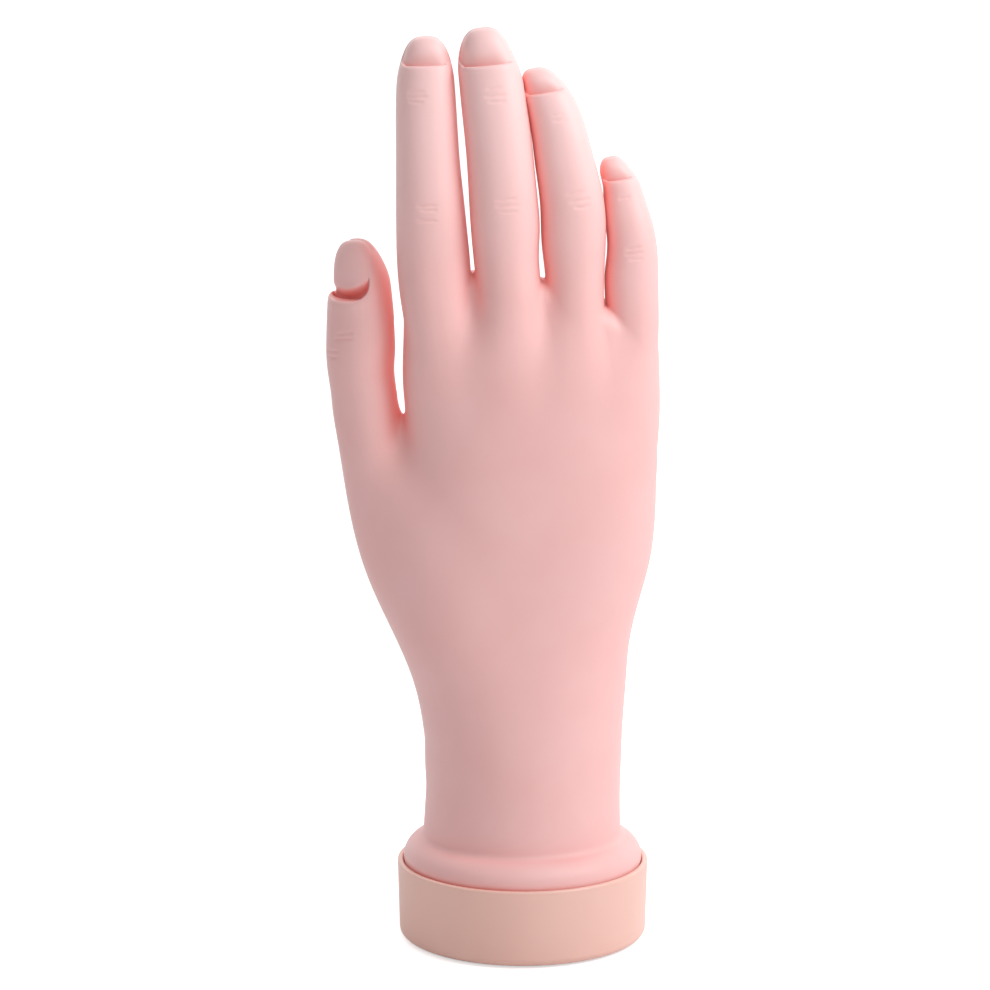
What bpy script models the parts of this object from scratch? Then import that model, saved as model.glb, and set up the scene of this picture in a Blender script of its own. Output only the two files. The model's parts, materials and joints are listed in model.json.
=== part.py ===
"""A nail practice hand: soft fingers on a jointed keel, standing in a round base.

Lengths are metres and +Z is up. The back of the hand faces -Y and the thumb is at -X.
The origin is the centre of the underside of the base.
"""
import math

import bmesh
import bpy
import numpy as np
from mathutils import Matrix, Vector

# Fits that several pieces share
GAP = 0.0003
OVERRUN = 0.0020
WELD = 0.00001
FLAT_ANGLE = math.radians(0.5)
SMOOTH_ANGLE = math.radians(40.0)

# Counts of facets
TURNED_SIDES = 36
PALM_SIDES = 32
FINGER_SIDES = 16
PIN_SIDES = 8
SOCKET_SIDES = 24
BARREL_STEPS = 4
EYE_STEPS = 2
EDGE_STEPS = 3
NAIL_STEPS = 6
SWING_STEPS = 5

# Round base
RIM_DIAMETER = 0.0635
FOOT_DIAMETER = 0.0625
BASE_HEIGHT = 0.0200
BASE_WALL = 0.0015
BASE_FLOOR = 0.0035
BASE_EDGE_RADIUS = 0.0040
RIM_EDGE = 0.0004
BOSS_DIAMETER = 0.0180
BOSS_RISE = 0.0030

# Foot pad
PAD_DIAMETER = 0.0500
PAD_THICKNESS = 0.0018
PAD_PROUD = 0.0005

# Pivot screw and its washer
SCREW_SHANK_DIAMETER = 0.0040
SCREW_HEAD_DIAMETER = 0.0080
SCREW_HEAD_DEPTH = 0.0017
SCREW_LENGTH = 0.0120
SCREW_POINT = 0.0008
WASHER_DIAMETER = 0.0090
WASHER_THICKNESS = 0.0008

# Wrist plug
PLUG_HUB_DIAMETER = 0.0240
PLUG_FLANGE_CLEARANCE = 0.00225
PLUG_FLANGE_THICKNESS = 0.0030
PLUG_CORE_DIAMETER = 0.0340
PLUG_CORE_LENGTH = 0.0440
PLUG_EDGE = 0.0010

# Rolled bead at the foot of the wrist
BEAD_CLEARANCE = 0.0001
BEAD_HEIGHT = 0.0105

# Palm
PALM_HEIGHT = 0.1700
PALM_DEPTH = 0.0250

# Stiff frame in the palm
STEM_WIDTH = 0.0114
STEM_DEPTH = 0.0060
STEM_ENTRY = 0.0140
FRAME_PLATE_WIDTH = 0.0220
FRAME_PLATE_LENGTH = 0.0320
FRAME_PLATE_START = 0.0130
FORK_REACH = 0.0140

# Keel hinges
TONGUE_WIDTH = 0.0023
PIN_DIAMETER = 0.0018
KEEL_SHARE = 0.40
PIN_REACH_SHARE = 0.94
SWING_REACH_SHARE = 1.2

# Root barrels stand in from the finger's sides, so that the palm keeps a wall between them
BARREL_INSET = 0.0015
BACK_LIP_SHARE = 0.40

# Rounded eyes and barrels are faceted from their middle to this angle on each side
ROUND_END = math.radians(75.0)

# Spaces between finger roots
INDEX_WEB = 0.00095
RING_WEB = 0.00145
LITTLE_WEB = 0.00070

# Fingers and thumb
INDEX_LENGTH = 0.0543
INDEX_WIDTH = 0.0180
INDEX_DEPTH = 0.0164
INDEX_ROOT_RISE = 0.0035
INDEX_SETBACK = -0.0014
MIDDLE_LENGTH = 0.0568
MIDDLE_WIDTH = 0.0169
MIDDLE_DEPTH = 0.0166
MIDDLE_ROOT_RISE = 0.0035
MIDDLE_SETBACK = -0.0028
MIDDLE_ROOT_X = -0.0042
RING_LENGTH = 0.0495
RING_WIDTH = 0.0154
RING_DEPTH = 0.0150
RING_ROOT_RISE = 0.0015
RING_SETBACK = -0.0010
LITTLE_LENGTH = 0.0346
LITTLE_WIDTH = 0.0130
LITTLE_DEPTH = 0.0126
LITTLE_ROOT_DROP = 0.0060
LITTLE_SETBACK = 0.0012
THUMB_LENGTH = 0.0393
THUMB_WIDTH = 0.0176
THUMB_DEPTH = 0.0148
THUMB_ROOT_DROP = 0.0310
THUMB_SETBACK = 0.0045
THUMB_SPREAD = 0.0350

# Leans towards the thumb, and the turn of the thumb's nail to the side
INDEX_LEAN = math.radians(-1.95)
MIDDLE_LEAN = math.radians(-5.76)
RING_LEAN = math.radians(-9.88)
LITTLE_LEAN = math.radians(-9.65)
THUMB_LEAN = math.radians(-4.23)
THUMB_TURN = math.radians(25.0)

# How far each hinge bends towards the palm
ROOT_BEND = math.radians(40.0)
MIDDLE_BEND = math.radians(60.0)
TIP_BEND = math.radians(35.0)
THUMB_ROOT_BEND = math.radians(30.0)
THUMB_TIP_BEND = math.radians(40.0)

# Nail place: the bed lies below the skin, and the slot runs on under the cuticle lip. The shares
# are of the half depth at the lip
NAIL_BED_DROP_SHARE = 0.25
NAIL_SLOT_HEIGHT_SHARE = 0.20
NAIL_SLOT_SINK_SHARE = 0.06
NAIL_SLOT_DEPTH = 0.0030
NAIL_WRAP = math.radians(62.0)
NAIL_SLOT_WRAP = math.radians(48.0)

# Squareness 2 is an ellipse, and more is a fuller section
FINGER_SQUARENESS = 2.15

# Step between a digit's sections
STATION_STEP = 0.0036

# Palm stations: height as a share of the palm's top, then the thumb side and the far side as shares
# of the knuckle width, the back and the front as shares of the palm's depth, the arch of the
# section as a share of the depth, and the squareness
PALM_SHARES = (
    (0.171, 0.389, 0.383, 0.972, 0.972, 0.00, 2.0),
    (0.206, 0.380, 0.380, 0.956, 0.956, 0.00, 2.0),
    (0.265, 0.372, 0.383, 0.928, 0.920, 0.00, 2.0),
    (0.328, 0.374, 0.389, 0.872, 0.872, 0.00, 2.1),
    (0.388, 0.390, 0.397, 0.792, 0.808, 0.00, 2.1),
    (0.449, 0.410, 0.411, 0.712, 0.728, 0.00, 2.2),
    (0.512, 0.428, 0.445, 0.652, 0.648, 0.02, 2.3),
    (0.571, 0.442, 0.486, 0.610, 0.570, 0.05, 2.4),
    (0.629, 0.450, 0.508, 0.590, 0.510, 0.08, 2.5),
    (0.688, 0.453, 0.512, 0.580, 0.470, 0.10, 2.5),
    (0.753, 0.455, 0.517, 0.570, 0.430, 0.12, 2.6),
    (0.812, 0.456, 0.523, 0.556, 0.390, 0.13, 2.6),
    (0.882, 0.460, 0.522, 0.520, 0.330, 0.13, 2.7),
    (0.941, 0.468, 0.520, 0.480, 0.270, 0.13, 2.8),
    (1.006, 0.482, 0.520, 0.450, 0.230, 0.13, 2.8),
)

# Bead stations: height as a share of the bead's, and its radius as a share of the bead's radius
BEAD_SHARES = (
    (0.00, 0.905),
    (0.14, 0.960),
    (0.29, 0.988),
    (0.43, 1.000),
    (0.58, 0.992),
    (0.74, 0.958),
    (0.88, 0.905),
    (1.00, 0.852),
)

# Thumb base stations: height as a share of the palm's top, the side offset as a share of the
# thumb's spread, then setback, half width and half depth as shares of the thumb's half depth
THUMB_BASE_SHARES = (
    (0.365, 0.22, 0.20, 1.40, 1.55),
    (0.450, 0.37, 0.40, 1.85, 1.85),
    (0.512, 0.50, 0.62, 1.98, 1.80),
    (0.571, 0.64, 0.76, 1.88, 1.68),
    (0.629, 0.755, 0.82, 1.67, 1.50),
    (0.688, 0.850, 0.80, 1.47, 1.30),
    (0.750, 0.940, 0.72, 1.29, 1.12),
)

# Digit stations: place along the length, side offset and palm-side offset as shares of the length,
# then half width and half depth as shares of the digit's own
INDEX_SHARES = (
    (0.000, 0.000, 0.000, 1.000, 1.000),
    (0.120, -0.003, -0.006, 0.972, 1.000),
    (0.249, -0.005, -0.012, 0.935, 0.985),
    (0.442, -0.008, -0.010, 0.872, 0.915),
    (0.580, -0.008, -0.004, 0.845, 0.870),
    (0.737, -0.007, 0.006, 0.811, 0.820),
    (0.820, -0.006, 0.014, 0.755, 0.760),
    (0.893, -0.003, 0.022, 0.670, 0.680),
    (0.948, 0.000, 0.028, 0.530, 0.540),
    (0.982, 0.000, 0.031, 0.360, 0.360),
    (1.000, 0.000, 0.033, 0.130, 0.130),
)
MIDDLE_SHARES = (
    (0.000, 0.000, 0.000, 0.953, 1.000),
    (0.115, 0.008, -0.006, 1.000, 1.000),
    (0.239, 0.012, -0.012, 1.000, 0.980),
    (0.425, 0.016, -0.010, 0.970, 0.920),
    (0.558, 0.016, -0.004, 0.959, 0.880),
    (0.699, 0.012, 0.006, 0.935, 0.840),
    (0.788, 0.008, 0.014, 0.893, 0.780),
    (0.858, -0.002, 0.020, 0.780, 0.700),
    (0.943, -0.005, 0.028, 0.580, 0.540),
    (0.982, 0.000, 0.031, 0.360, 0.340),
    (1.000, 0.000, 0.033, 0.130, 0.130),
)
RING_SHARES = (
    (0.000, 0.000, 0.000, 0.961, 1.000),
    (0.133, 0.020, -0.006, 0.968, 1.000),
    (0.318, 0.038, -0.012, 0.975, 0.980),
    (0.533, 0.036, -0.008, 0.940, 0.910),
    (0.686, 0.032, 0.000, 0.870, 0.860),
    (0.748, 0.027, 0.006, 0.838, 0.830),
    (0.830, 0.017, 0.014, 0.747, 0.760),
    (0.932, 0.003, 0.026, 0.520, 0.530),
    (0.984, 0.000, 0.031, 0.286, 0.290),
    (1.000, 0.000, 0.033, 0.130, 0.130),
)
LITTLE_SHARES = (
    (0.000, 0.000, 0.000, 0.980, 1.000),
    (0.176, 0.028, -0.006, 0.975, 1.000),
    (0.381, 0.051, -0.008, 0.930, 0.970),
    (0.557, 0.058, -0.004, 0.815, 0.880),
    (0.704, 0.056, 0.006, 0.710, 0.800),
    (0.762, 0.049, 0.012, 0.655, 0.750),
    (0.850, 0.032, 0.022, 0.570, 0.650),
    (0.909, 0.010, 0.028, 0.475, 0.530),
    (0.968, 0.000, 0.032, 0.285, 0.300),
    (1.000, 0.000, 0.034, 0.130, 0.130),
)
THUMB_SHARES = (
    (0.000, 0.000, 0.000, 0.990, 1.000),
    (0.153, -0.012, -0.005, 0.975, 1.000),
    (0.288, -0.010, -0.010, 0.990, 1.000),
    (0.408, -0.003, -0.010, 0.980, 0.990),
    (0.480, 0.002, -0.008, 0.970, 0.970),
    (0.607, 0.012, 0.000, 0.910, 0.920),
    (0.671, 0.020, 0.004, 0.850, 0.860),
    (0.798, 0.027, 0.012, 0.730, 0.740),
    (0.923, 0.012, 0.020, 0.550, 0.540),
    (0.987, 0.000, 0.025, 0.300, 0.280),
    (1.000, 0.000, 0.026, 0.130, 0.130),
)

# Hinge places and cuticle lips along each digit, as shares of its length
INDEX_HINGE_SHARES = (0.0, 0.249, 0.737)
MIDDLE_HINGE_SHARES = (0.0, 0.245, 0.699)
RING_HINGE_SHARES = (0.0, 0.318, 0.740)
LITTLE_HINGE_SHARES = (0.0, 0.308, 0.690)
THUMB_HINGE_SHARES = (0.0, 0.415)
INDEX_LIP_SHARE = 0.875
MIDDLE_LIP_SHARE = 0.844
RING_LIP_SHARE = 0.879
LITTLE_LIP_SHARE = 0.839
THUMB_LIP_SHARE = 0.607

# The last bone stops this share of the way from its hinge to the tip
TIP_BONE_SHARE = 0.56
TIP_BONE_TAPER_SHARE = 0.62

# Where each arm leaves the frame's plate: side place as a share of the plate's width, and height
# as a share of its length
INDEX_ARM_SHARES = (-0.30, 0.86)
MIDDLE_ARM_SHARES = (-0.10, 0.92)
RING_ARM_SHARES = (0.12, 0.92)
LITTLE_ARM_SHARES = (0.32, 0.86)
THUMB_ARM_SHARES = (-0.30, 0.35)

# What stands in the mouth of the cup
MOUTH_DIAMETER = RIM_DIAMETER - 2 * BASE_WALL
PLUG_FLANGE_DIAMETER = MOUTH_DIAMETER - 2 * PLUG_FLANGE_CLEARANCE
BEAD_DIAMETER = MOUTH_DIAMETER - 2 * BEAD_CLEARANCE

# Heights that follow from the sizes above
FLOOR_TOP = PAD_PROUD + BASE_FLOOR
BOSS_TOP = FLOOR_TOP + BOSS_RISE
RECESS_TOP = PAD_THICKNESS + GAP
SCREW_HEAD_BOTTOM = RECESS_TOP + GAP
WASHER_BOTTOM = SCREW_HEAD_BOTTOM + SCREW_HEAD_DEPTH + GAP
POCKET_TOP = WASHER_BOTTOM + WASHER_THICKNESS + GAP
HUB_BOTTOM = BOSS_TOP + GAP
BEAD_FOOT = BASE_HEIGHT - PLUG_FLANGE_THICKNESS
FLANGE_TOP = BEAD_FOOT - GAP
FLANGE_BOTTOM = FLANGE_TOP - PLUG_FLANGE_THICKNESS
CORE_TOP = FLANGE_TOP + PLUG_CORE_LENGTH
SCREW_TIP = SCREW_HEAD_BOTTOM + SCREW_HEAD_DEPTH + SCREW_LENGTH
STEM_BOTTOM = CORE_TOP - STEM_ENTRY
PLATE_BOTTOM = CORE_TOP + FRAME_PLATE_START
PLATE_TOP = PLATE_BOTTOM + FRAME_PLATE_LENGTH

# Finger roots stand side by side, a web apart, out from the middle finger, about the palm's top
INDEX_ROOT_HEIGHT = PALM_HEIGHT + INDEX_ROOT_RISE
MIDDLE_ROOT_HEIGHT = PALM_HEIGHT + MIDDLE_ROOT_RISE
RING_ROOT_HEIGHT = PALM_HEIGHT + RING_ROOT_RISE
LITTLE_ROOT_HEIGHT = PALM_HEIGHT - LITTLE_ROOT_DROP
THUMB_ROOT_HEIGHT = PALM_HEIGHT - THUMB_ROOT_DROP
INDEX_ROOT_X = MIDDLE_ROOT_X - (MIDDLE_WIDTH * MIDDLE_SHARES[0][3] + INDEX_WIDTH) / 2 - INDEX_WEB
RING_ROOT_X = (
    MIDDLE_ROOT_X
    + (MIDDLE_WIDTH * MIDDLE_SHARES[0][3] + RING_WIDTH * RING_SHARES[0][3]) / 2
    + RING_WEB
)
LITTLE_ROOT_X = (
    RING_ROOT_X
    + (RING_WIDTH * RING_SHARES[0][3] + LITTLE_WIDTH * LITTLE_SHARES[0][3]) / 2
    + LITTLE_WEB
)
THUMB_ROOT_X = MIDDLE_ROOT_X - THUMB_SPREAD
KNUCKLE_WIDTH = LITTLE_ROOT_X - INDEX_ROOT_X + (INDEX_WIDTH + LITTLE_WIDTH) / 2

FINGER_BENDS = (ROOT_BEND, MIDDLE_BEND, TIP_BEND)
THUMB_BENDS = (THUMB_ROOT_BEND, THUMB_TIP_BEND)
FINGER_PARTS = ("near", "mid", "tip")
THUMB_PARTS = ("near", "tip")


def tilted_frame(place, lean, turn):
    """The frame of a digit: X across it, Y towards the palm and Z along it."""
    spin = Matrix.Rotation(lean, 4, "Y") @ Matrix.Rotation(-turn, 4, "Z")
    return Matrix.Translation(Vector(place)) @ spin


def smooth_reading(table, column, at):
    """Reads a column of a table of stations on a smooth curve through its rows."""
    rows = np.array(table, dtype=float)
    known, values = rows[:, 0], rows[:, column]
    slopes = np.gradient(values, known)
    at = min(max(at, known[0]), known[-1])
    low = min(int(np.searchsorted(known, at, side="right")) - 1, len(known) - 2)
    span = known[low + 1] - known[low]
    part = (at - known[low]) / span
    rise = values[low + 1] - values[low]
    ease = part * part * (3 - 2 * part)
    enter = part * (1 - part) ** 2 * slopes[low] * span
    leave = part * part * (part - 1) * slopes[low + 1] * span
    return values[low] + rise * ease + enter + leave


class Digit:
    """One finger or the thumb: its frame, its stations and its hinges."""

    def __init__(self, name, length, width, depth, root, lean, turn, table, hinges, bends, parts, lip):
        self.name = name
        self.length = length
        self.half_width = width / 2
        self.half_depth = depth / 2
        self.frame = tilted_frame(root, lean, turn)
        self.table = table
        self.hinges = [share * length for share in hinges]
        self.bends = bends
        self.parts = parts
        self.lip = lip * length
        self.keel = KEEL_SHARE * depth / 2

    def centre(self, along):
        """The middle of the section at a place along the digit, in the digit's frame."""
        share = along / self.length
        across = smooth_reading(self.table, 1, share) * self.length
        inward = smooth_reading(self.table, 2, share) * self.length
        return Vector((across, inward, along))

    def half_sizes(self, along):
        """Half the width and half the depth at a place along the digit."""
        share = along / self.length
        wide = smooth_reading(self.table, 3, share) * self.half_width
        deep = smooth_reading(self.table, 4, share) * self.half_depth
        return wide, deep

    def hinge_place(self, number):
        """The middle of a hinge, in the world."""
        return self.frame @ self.centre(self.hinges[number])

    def hinge_axis(self):
        """The axis on which a positive turn bends the digit towards the palm."""
        return self.frame.to_3x3() @ Vector((-1, 0, 0))

    def front_lip(self, number):
        """How far below a hinge the palm-side lip stops, so that the bent barrel clears it."""
        deep = self.half_sizes(self.hinges[number])[1]
        outer = deep + GAP
        free = self.bends[number] - math.acos(deep / outer)
        return outer * math.sin(max(free, 0)) + GAP


def digits():
    """The four fingers and the thumb."""
    return (
        Digit(
            "index", INDEX_LENGTH, INDEX_WIDTH, INDEX_DEPTH,
            (INDEX_ROOT_X, INDEX_SETBACK, INDEX_ROOT_HEIGHT), INDEX_LEAN, 0,
            INDEX_SHARES, INDEX_HINGE_SHARES, FINGER_BENDS, FINGER_PARTS, INDEX_LIP_SHARE,
        ),
        Digit(
            "middle", MIDDLE_LENGTH, MIDDLE_WIDTH, MIDDLE_DEPTH,
            (MIDDLE_ROOT_X, MIDDLE_SETBACK, MIDDLE_ROOT_HEIGHT), MIDDLE_LEAN, 0,
            MIDDLE_SHARES, MIDDLE_HINGE_SHARES, FINGER_BENDS, FINGER_PARTS, MIDDLE_LIP_SHARE,
        ),
        Digit(
            "ring", RING_LENGTH, RING_WIDTH, RING_DEPTH,
            (RING_ROOT_X, RING_SETBACK, RING_ROOT_HEIGHT), RING_LEAN, 0,
            RING_SHARES, RING_HINGE_SHARES, FINGER_BENDS, FINGER_PARTS, RING_LIP_SHARE,
        ),
        Digit(
            "little", LITTLE_LENGTH, LITTLE_WIDTH, LITTLE_DEPTH,
            (LITTLE_ROOT_X, LITTLE_SETBACK, LITTLE_ROOT_HEIGHT), LITTLE_LEAN, 0,
            LITTLE_SHARES, LITTLE_HINGE_SHARES, FINGER_BENDS, FINGER_PARTS, LITTLE_LIP_SHARE,
        ),
        Digit(
            "thumb", THUMB_LENGTH, THUMB_WIDTH, THUMB_DEPTH,
            (THUMB_ROOT_X, THUMB_SETBACK, THUMB_ROOT_HEIGHT), THUMB_LEAN, THUMB_TURN,
            THUMB_SHARES, THUMB_HINGE_SHARES, THUMB_BENDS, THUMB_PARTS, THUMB_LIP_SHARE,
        ),
    )


def clear_scene():
    """Removes the objects that the scene starts with."""
    for thing in list(bpy.data.objects):
        bpy.data.objects.remove(thing, do_unlink=True)


def material(name, colour, roughness, metallic=0):
    """A plain material of one finish."""
    made = bpy.data.materials.new(name)
    made.use_nodes = True
    shader = made.node_tree.nodes["Principled BSDF"]
    shader.inputs["Base Color"].default_value = (*colour, 1)
    shader.inputs["Roughness"].default_value = roughness
    shader.inputs["Metallic"].default_value = metallic
    made.diffuse_color = (*colour, 1)
    return made


def object_from(name, points, faces):
    """A new object from points and faces, with its faces turned outwards."""
    shape = bpy.data.meshes.new(name)
    shape.from_pydata([tuple(point) for point in points], [], faces)
    work = bmesh.new()
    work.from_mesh(shape)
    bmesh.ops.recalc_face_normals(work, faces=work.faces)
    bmesh.ops.triangulate(work, faces=work.faces)
    work.to_mesh(shape)
    work.free()
    made = bpy.data.objects.new(name, shape)
    bpy.context.collection.objects.link(made)
    return made


def section(frame, centre, wide, deep, count, squareness=2.0, lips=None, arch=0.0):
    """The ring of points of one section: an ellipse, or a fuller shape where squareness is over 2.

    lips are how far its back edge and its front edge lie below the centre, for a slanted end.
    arch moves the section's two sides towards the palm.
    """
    angles = np.arange(count) * (2 * math.pi / count)
    power = 2 / squareness
    across = np.sign(np.cos(angles)) * np.abs(np.cos(angles)) ** power
    inward = np.sign(np.sin(angles)) * np.abs(np.sin(angles)) ** power
    points = []
    for side, front in zip(across, inward):
        drop = 0 if lips is None else lips[0] + (lips[1] - lips[0]) * (front + 1) / 2
        bow = arch * side * side
        local = Vector((centre[0] + wide * side, centre[1] + deep * front + bow, centre[2] - drop))
        points.append(frame @ local)
    return points


def loft(name, rings):
    """A closed skin over a row of rings, with a flat face at each end."""
    count = len(rings[0])
    points = [point for ring in rings for point in ring]
    faces = [tuple(range(count)), tuple(range(len(points) - count, len(points)))]
    for row in range(len(rings) - 1):
        for place in range(count):
            after = (place + 1) % count
            low, high = row * count, (row + 1) * count
            faces.append((low + place, low + after, high + after, high + place))
    return object_from(name, points, faces)


def turned(name, profile, sides=TURNED_SIDES):
    """A piece turned about Z from a closed profile of radius and height."""
    points = []
    starts = []
    for radius, height in profile:
        starts.append(len(points))
        if radius == 0:
            points.append((0, 0, height))
            continue
        for place in range(sides):
            angle = 2 * math.pi * place / sides
            points.append((radius * math.cos(angle), radius * math.sin(angle), height))
    faces = []
    for row, (radius, _) in enumerate(profile):
        after_row = (row + 1) % len(profile)
        after_radius = profile[after_row][0]
        if radius == 0 and after_radius == 0:
            continue
        for place in range(sides):
            after = (place + 1) % sides
            low = [starts[row]] if radius == 0 else [starts[row] + place, starts[row] + after]
            high = [starts[after_row]]
            if after_radius:
                high = [starts[after_row] + after, starts[after_row] + place]
            faces.append(tuple(low + high))
    return object_from(name, points, faces)


def extruded(name, outline, half_length, frame, upright=False):
    """An outline drawn across a digit, carried along it (upright) or along its hinge axis."""
    points = []
    for end in (-half_length, half_length):
        for first, second in outline:
            local = Vector((first, second, end)) if upright else Vector((end, first, second))
            points.append(frame @ local)
    count = len(outline)
    faces = [tuple(range(count)), tuple(range(count, 2 * count))]
    for place in range(count):
        after = (place + 1) % count
        faces.append((place, after, count + after, count + place))
    return object_from(name, points, faces)


def circle_outline(radius, sides):
    """A round outline."""
    steps = [2 * math.pi * place / sides for place in range(sides)]
    return [(radius * math.cos(step), radius * math.sin(step)) for step in steps]


def cross_cylinder(name, frame, centre, radius, half_length, sides=SOCKET_SIDES):
    """A cylinder along a hinge's axis."""
    place = frame @ Matrix.Translation(centre)
    return extruded(name, circle_outline(radius, sides), half_length, place)


def block(name, frame, low, high):
    """A box between two corners of a digit's frame."""
    middle = (low[2] + high[2]) / 2
    outline = [(low[0], low[1]), (high[0], low[1]), (high[0], high[1]), (low[0], high[1])]
    place = frame @ Matrix.Translation((0, 0, middle))
    return extruded(name, outline, (high[2] - low[2]) / 2, place, upright=True)


def is_closed(shape):
    """Whether every edge of a mesh is shared by exactly two faces."""
    work = bmesh.new()
    work.from_mesh(shape)
    closed = all(len(edge.link_faces) == 2 for edge in work.edges)
    work.free()
    return closed


def boolean_mesh(piece, cutter, operation, solver):
    """The mesh that a Boolean of one solver gives, in triangles."""
    step = piece.modifiers.new(cutter.name, "BOOLEAN")
    step.operation = operation
    step.solver = solver
    step.object = cutter
    graph = bpy.context.evaluated_depsgraph_get()
    shape = bpy.data.meshes.new_from_object(piece.evaluated_get(graph))
    piece.modifiers.clear()
    work = bmesh.new()
    work.from_mesh(shape)
    bmesh.ops.triangulate(work, faces=work.faces)
    work.to_mesh(shape)
    work.free()
    return shape


def cleaned(shape, merge_flats):
    """A copy of a mesh without slivers, or with its flat patches merged and cut up anew."""
    plain = shape.copy()
    work = bmesh.new()
    work.from_mesh(plain)
    if merge_flats:
        bmesh.ops.dissolve_limit(
            work, angle_limit=FLAT_ANGLE, use_dissolve_boundaries=False,
            verts=work.verts, edges=work.edges,
        )
    else:
        bmesh.ops.remove_doubles(work, verts=work.verts, dist=WELD)
        bmesh.ops.dissolve_degenerate(work, edges=work.edges, dist=WELD)
    bmesh.ops.triangulate(work, faces=work.faces)
    work.to_mesh(plain)
    work.free()
    return plain


def carve(piece, cutters, operation="DIFFERENCE"):
    """Cuts a piece by each cutter in turn, or joins each to it, and removes the cutters.

    The exact solver comes first, and the manifold one where that leaves an edge open. A clean-up
    that would open an edge is left out.
    """
    for cutter in cutters:
        cutter.hide_render = True
        cutter.display_type = "WIRE"
        shape = boolean_mesh(piece, cutter, operation, "EXACT")
        if not is_closed(shape):
            shape = boolean_mesh(piece, cutter, operation, "MANIFOLD")
        piece.data = shape
        bpy.data.objects.remove(cutter, do_unlink=True)
    for merge_flats in (False, True):
        plain = cleaned(piece.data, merge_flats)
        if is_closed(plain):
            piece.data = plain
    piece.data.name = piece.name
    return piece


def finish(piece, surface, parent, smooth=True):
    """Gives a piece its material, its parent and its shading, with its origin at the parent's."""
    piece.data.materials.clear()
    piece.data.materials.append(surface)
    place = parent.matrix_world.translation
    piece.data.transform(Matrix.Translation(-place))
    piece.parent = parent
    if smooth:
        piece.data.shade_smooth()
        piece.data.set_sharp_from_angle(angle=SMOOTH_ANGLE)
    return piece


def joint_empty(name, place, parent=None):
    """An empty on a joint's axis, which carries the pieces that the joint moves."""
    made = bpy.data.objects.new(name, None)
    bpy.context.collection.objects.link(made)
    made.empty_display_size = TONGUE_WIDTH
    if parent is not None:
        made.parent = parent
        made.location = Vector(place) - parent.matrix_world.translation
    bpy.context.view_layer.update()
    return made


def base_cup():
    """The moulded cup: a drafted wall, a rounded foot, and a boss that the hand turns on."""
    foot, rim = FOOT_DIAMETER / 2, RIM_DIAMETER / 2
    pad, pocket = PAD_DIAMETER / 2 + GAP, WASHER_DIAMETER / 2 + GAP
    hole = SCREW_SHANK_DIAMETER / 2 + GAP
    inner_radius = BASE_EDGE_RADIUS - BASE_WALL
    profile = [(pad, PAD_PROUD)]
    for step in range(EDGE_STEPS + 1):
        angle = math.pi / 2 * step / EDGE_STEPS
        out = foot - BASE_EDGE_RADIUS * (1 - math.sin(angle))
        profile.append((out, PAD_PROUD + BASE_EDGE_RADIUS * (1 - math.cos(angle))))
    profile += [(rim, BASE_HEIGHT - RIM_EDGE), (rim - RIM_EDGE, BASE_HEIGHT)]
    profile += [(rim - BASE_WALL + RIM_EDGE, BASE_HEIGHT), (rim - BASE_WALL, BASE_HEIGHT - RIM_EDGE)]
    for step in range(EDGE_STEPS + 1):
        angle = math.pi / 2 * step / EDGE_STEPS
        out = foot - BASE_WALL - inner_radius * (1 - math.cos(angle))
        profile.append((out, FLOOR_TOP + inner_radius * (1 - math.sin(angle))))
    boss = BOSS_DIAMETER / 2
    profile += [(boss, FLOOR_TOP), (boss, BOSS_TOP), (hole, BOSS_TOP), (hole, POCKET_TOP)]
    profile += [(pocket, POCKET_TOP), (pocket, RECESS_TOP), (pad, RECESS_TOP)]
    return turned("base_cup", profile)


def foot_pad():
    """The non-slip disc under the base, which stands a little proud of it."""
    radius = PAD_DIAMETER / 2
    return turned("foot_pad", [(0, 0), (radius, 0), (radius, PAD_THICKNESS), (0, PAD_THICKNESS)])


def pivot_screw():
    """The screw that the hand turns on: a flat head under the base's boss."""
    head, shank = SCREW_HEAD_DIAMETER / 2, SCREW_SHANK_DIAMETER / 2
    head_top = SCREW_HEAD_BOTTOM + SCREW_HEAD_DEPTH
    profile = [(0, SCREW_HEAD_BOTTOM), (head, SCREW_HEAD_BOTTOM), (head, head_top), (shank, head_top)]
    profile += [(shank, SCREW_TIP - SCREW_POINT), (0, SCREW_TIP)]
    return turned("pivot_screw", profile, PIN_SIDES * 2)


def pivot_washer():
    """The washer between the screw's head and the boss."""
    hole, edge = SCREW_SHANK_DIAMETER / 2 + GAP, WASHER_DIAMETER / 2
    top = WASHER_BOTTOM + WASHER_THICKNESS
    profile = [(hole, WASHER_BOTTOM), (edge, WASHER_BOTTOM), (edge, top), (hole, top)]
    return turned("pivot_washer", profile, PIN_SIDES * 2)


def wrist_plug():
    """The stiff core of the wrist: a hub on the boss, a flange under the bead and a slotted core."""
    bore, hub = SCREW_SHANK_DIAMETER / 2 + GAP, PLUG_HUB_DIAMETER / 2
    flange, core = PLUG_FLANGE_DIAMETER / 2, PLUG_CORE_DIAMETER / 2
    profile = [(bore, HUB_BOTTOM), (hub, HUB_BOTTOM), (hub, FLANGE_BOTTOM), (flange, FLANGE_BOTTOM)]
    profile += [(flange, FLANGE_TOP), (core, FLANGE_TOP), (core, CORE_TOP - PLUG_EDGE)]
    profile += [(core - PLUG_EDGE, CORE_TOP), (0, CORE_TOP), (0, SCREW_TIP + GAP)]
    profile += [(bore, SCREW_TIP + GAP)]
    plug = turned("wrist_plug", profile)
    return carve(plug, [stem_block("stem_slot", GAP)])


def stem_block(name, grow):
    """The frame's stem, or with grow the slot that it stands in."""
    wide, deep = STEM_WIDTH / 2 + grow, STEM_DEPTH / 2 + grow
    low = (-wide, -deep, STEM_BOTTOM - grow)
    return block(name, Matrix.Identity(4), low, (wide, deep, PLATE_BOTTOM + OVERRUN))


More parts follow.
